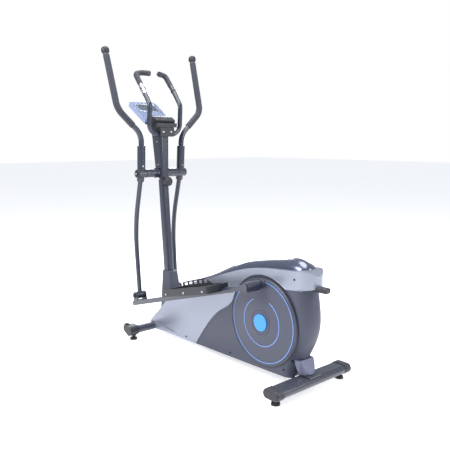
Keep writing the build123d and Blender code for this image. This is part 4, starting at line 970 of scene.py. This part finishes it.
@dataclass
class RunningGear:
    """Treads of the transport wheels and the face of the locking knob."""

    def build(self) -> None:
        """Dress the wheels and the knob."""
        for side in SIDES:
            low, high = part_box(f"{side}_transport_wheel")
            centre = (low + high) / 2
            radius = (high.z - low.z) / 2
            rims = [circle(centre + Vector((0, shift, 0)), radius - 0.0004, count=64)
                    for shift in (-0.0045, 0.0, 0.0045)]
            tread = BEADS.run(path_mesh("wheel", rims, True), f"{side}_wheel_tread", "rubber", Radius=0.0009)
            settle(tread, f"{side}_transport_wheel")
        self.knob()

    def knob(self) -> None:
        """Raised ring and centre cap on the knob's face."""
        _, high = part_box("lock_knob")
        axis = Vector(next(j["axis"] for j in frame["joints"] if j["name"] == "lock_knob_turn")).normalized()
        root = PLACES.joints["lock_knob_turn"]
        reach = (high.x - root.x) / axis.x - 0.0022
        face = root + axis * reach
        side = Vector((0.0, 1.0, 0.0))
        up = axis.cross(side)
        rings = []
        for radius in (0.0185, 0.0085):
            turns = [2 * math.pi * i / 48 for i in range(48)]
            rings.append([face + side * radius * math.cos(a) + up * radius * math.sin(a) for a in turns])
        ring = BEADS.run(path_mesh("knob", rings, True), "knob_rings", "black_plastic", Radius=0.0013)
        settle(ring, "lock_knob")


@dataclass
class Studio:
    """Pale floor, soft lights and the camera."""

    camera_station: float = 2.962
    camera_out: float = -2.105
    camera_height: float = 1.200
    yaw: float = 41.56
    pitch: float = 8.12
    lens: float = 46.888
    floor_glow: float = 0.55
    surroundings: tuple = ((1, (0.84, 0.90, 1.0, 1.0), 0.42), (2, (1.0, 1.0, 1.0, 1.0), 1.0))

    def build(self) -> None:
        """Set the stage."""
        bpy.context.scene.view_settings.view_transform = "Standard"
        self.floor()
        self.world()
        self.light("key", (-0.6, -4.2, 3.2), (0.0, 0.0, 0.7), 2.6, 190.0)
        self.light("top", (0.6, -0.3, 4.2), (0.0, 0.0, 0.6), 3.0, 150.0)
        self.light("rear_fill", (3.8, 1.8, 2.2), (0.2, 0.0, 0.6), 2.2, 90.0)
        self.light("front_rim", (-3.2, 1.6, 2.4), (0.0, 0.0, 0.9), 2.0, 80.0)
        self.camera()

    @staticmethod
    def floor() -> None:
        """A wide plain floor, just under the feet."""
        mesh = bpy.data.meshes.new("floor")
        mesh.from_pydata([(-30, -30, 0), (30, -30, 0), (30, 30, 0), (-30, 30, 0)], [], [(0, 1, 2, 3)])
        floor = bpy.data.objects.new("floor", mesh)
        bpy.context.scene.collection.objects.link(floor)
        material = bpy.data.materials.new("floor_white")
        material.use_nodes = True
        shader = material.node_tree.nodes["Principled BSDF"]
        shader.inputs["Base Color"].default_value = (0.93, 0.93, 0.94, 1.0)
        shader.inputs["Roughness"].default_value = 0.9
        shader.inputs["Emission Color"].default_value = (1.0, 1.0, 1.0, 1.0)
        shader.inputs["Emission Strength"].default_value = Studio.floor_glow
        mesh.materials.append(material)

    @staticmethod
    def world() -> None:
        """Soft cool light all round, with plain white behind the object."""
        world = bpy.data.worlds.new("studio")
        bpy.context.scene.world = world
        world.use_nodes = True
        nodes, links = world.node_tree.nodes, world.node_tree.links
        nodes.clear()
        seen = nodes.new("ShaderNodeLightPath")
        mix = nodes.new("ShaderNodeMixShader")
        links.new(seen.outputs["Is Camera Ray"], mix.inputs[0])
        for socket, tint, strength in Studio.surroundings:
            background = nodes.new("ShaderNodeBackground")
            background.inputs["Color"].default_value = tint
            background.inputs["Strength"].default_value = strength
            links.new(background.outputs[0], mix.inputs[socket])
        output = nodes.new("ShaderNodeOutputWorld")
        links.new(mix.outputs[0], output.inputs["Surface"])

    @staticmethod
    def light(name: str, place: tuple, target: tuple, size: float, power: float) -> None:
        """One large soft lamp aimed at a point."""
        data = bpy.data.lights.new(name, "AREA")
        data.shape = "DISK"
        data.size = size
        data.energy = power
        lamp = bpy.data.objects.new(name, data)
        lamp.location = place
        aim = Vector(target) - Vector(place)
        lamp.rotation_euler = aim.to_track_quat("-Z", "Y").to_euler()
        bpy.context.scene.collection.objects.link(lamp)

    def camera(self) -> None:
        """Camera at the viewing angle, behind and to the left of the user."""
        data = bpy.data.cameras.new("camera")
        data.lens = self.lens
        data.clip_end = 200.0
        camera = bpy.data.objects.new("camera", data)
        front = PLACES.crank.x - Casing.crank_station
        camera.location = (front + self.camera_station, self.camera_out, self.camera_height)
        yaw, pitch = math.radians(self.yaw), math.radians(self.pitch)
        aim = Vector((-math.cos(yaw) * math.cos(pitch), math.sin(yaw) * math.cos(pitch), -math.sin(pitch)))
        camera.rotation_euler = aim.to_track_quat("-Z", "Y").to_euler()
        bpy.context.scene.collection.objects.link(camera)
        bpy.context.scene.camera = camera


def main() -> None:
    """Dress the frame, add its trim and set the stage."""
    logging.basicConfig(level=logging.INFO, format="%(name)s: %(message)s")
    for part in (FrameDress(), HandleGrips(), FixedGrips(), Casing(), CrankDiscs(), Footplates(), Console(),
                 Fasteners(), RunningGear(), Studio()):
        part.build()


if __name__ == "__main__":
    main()
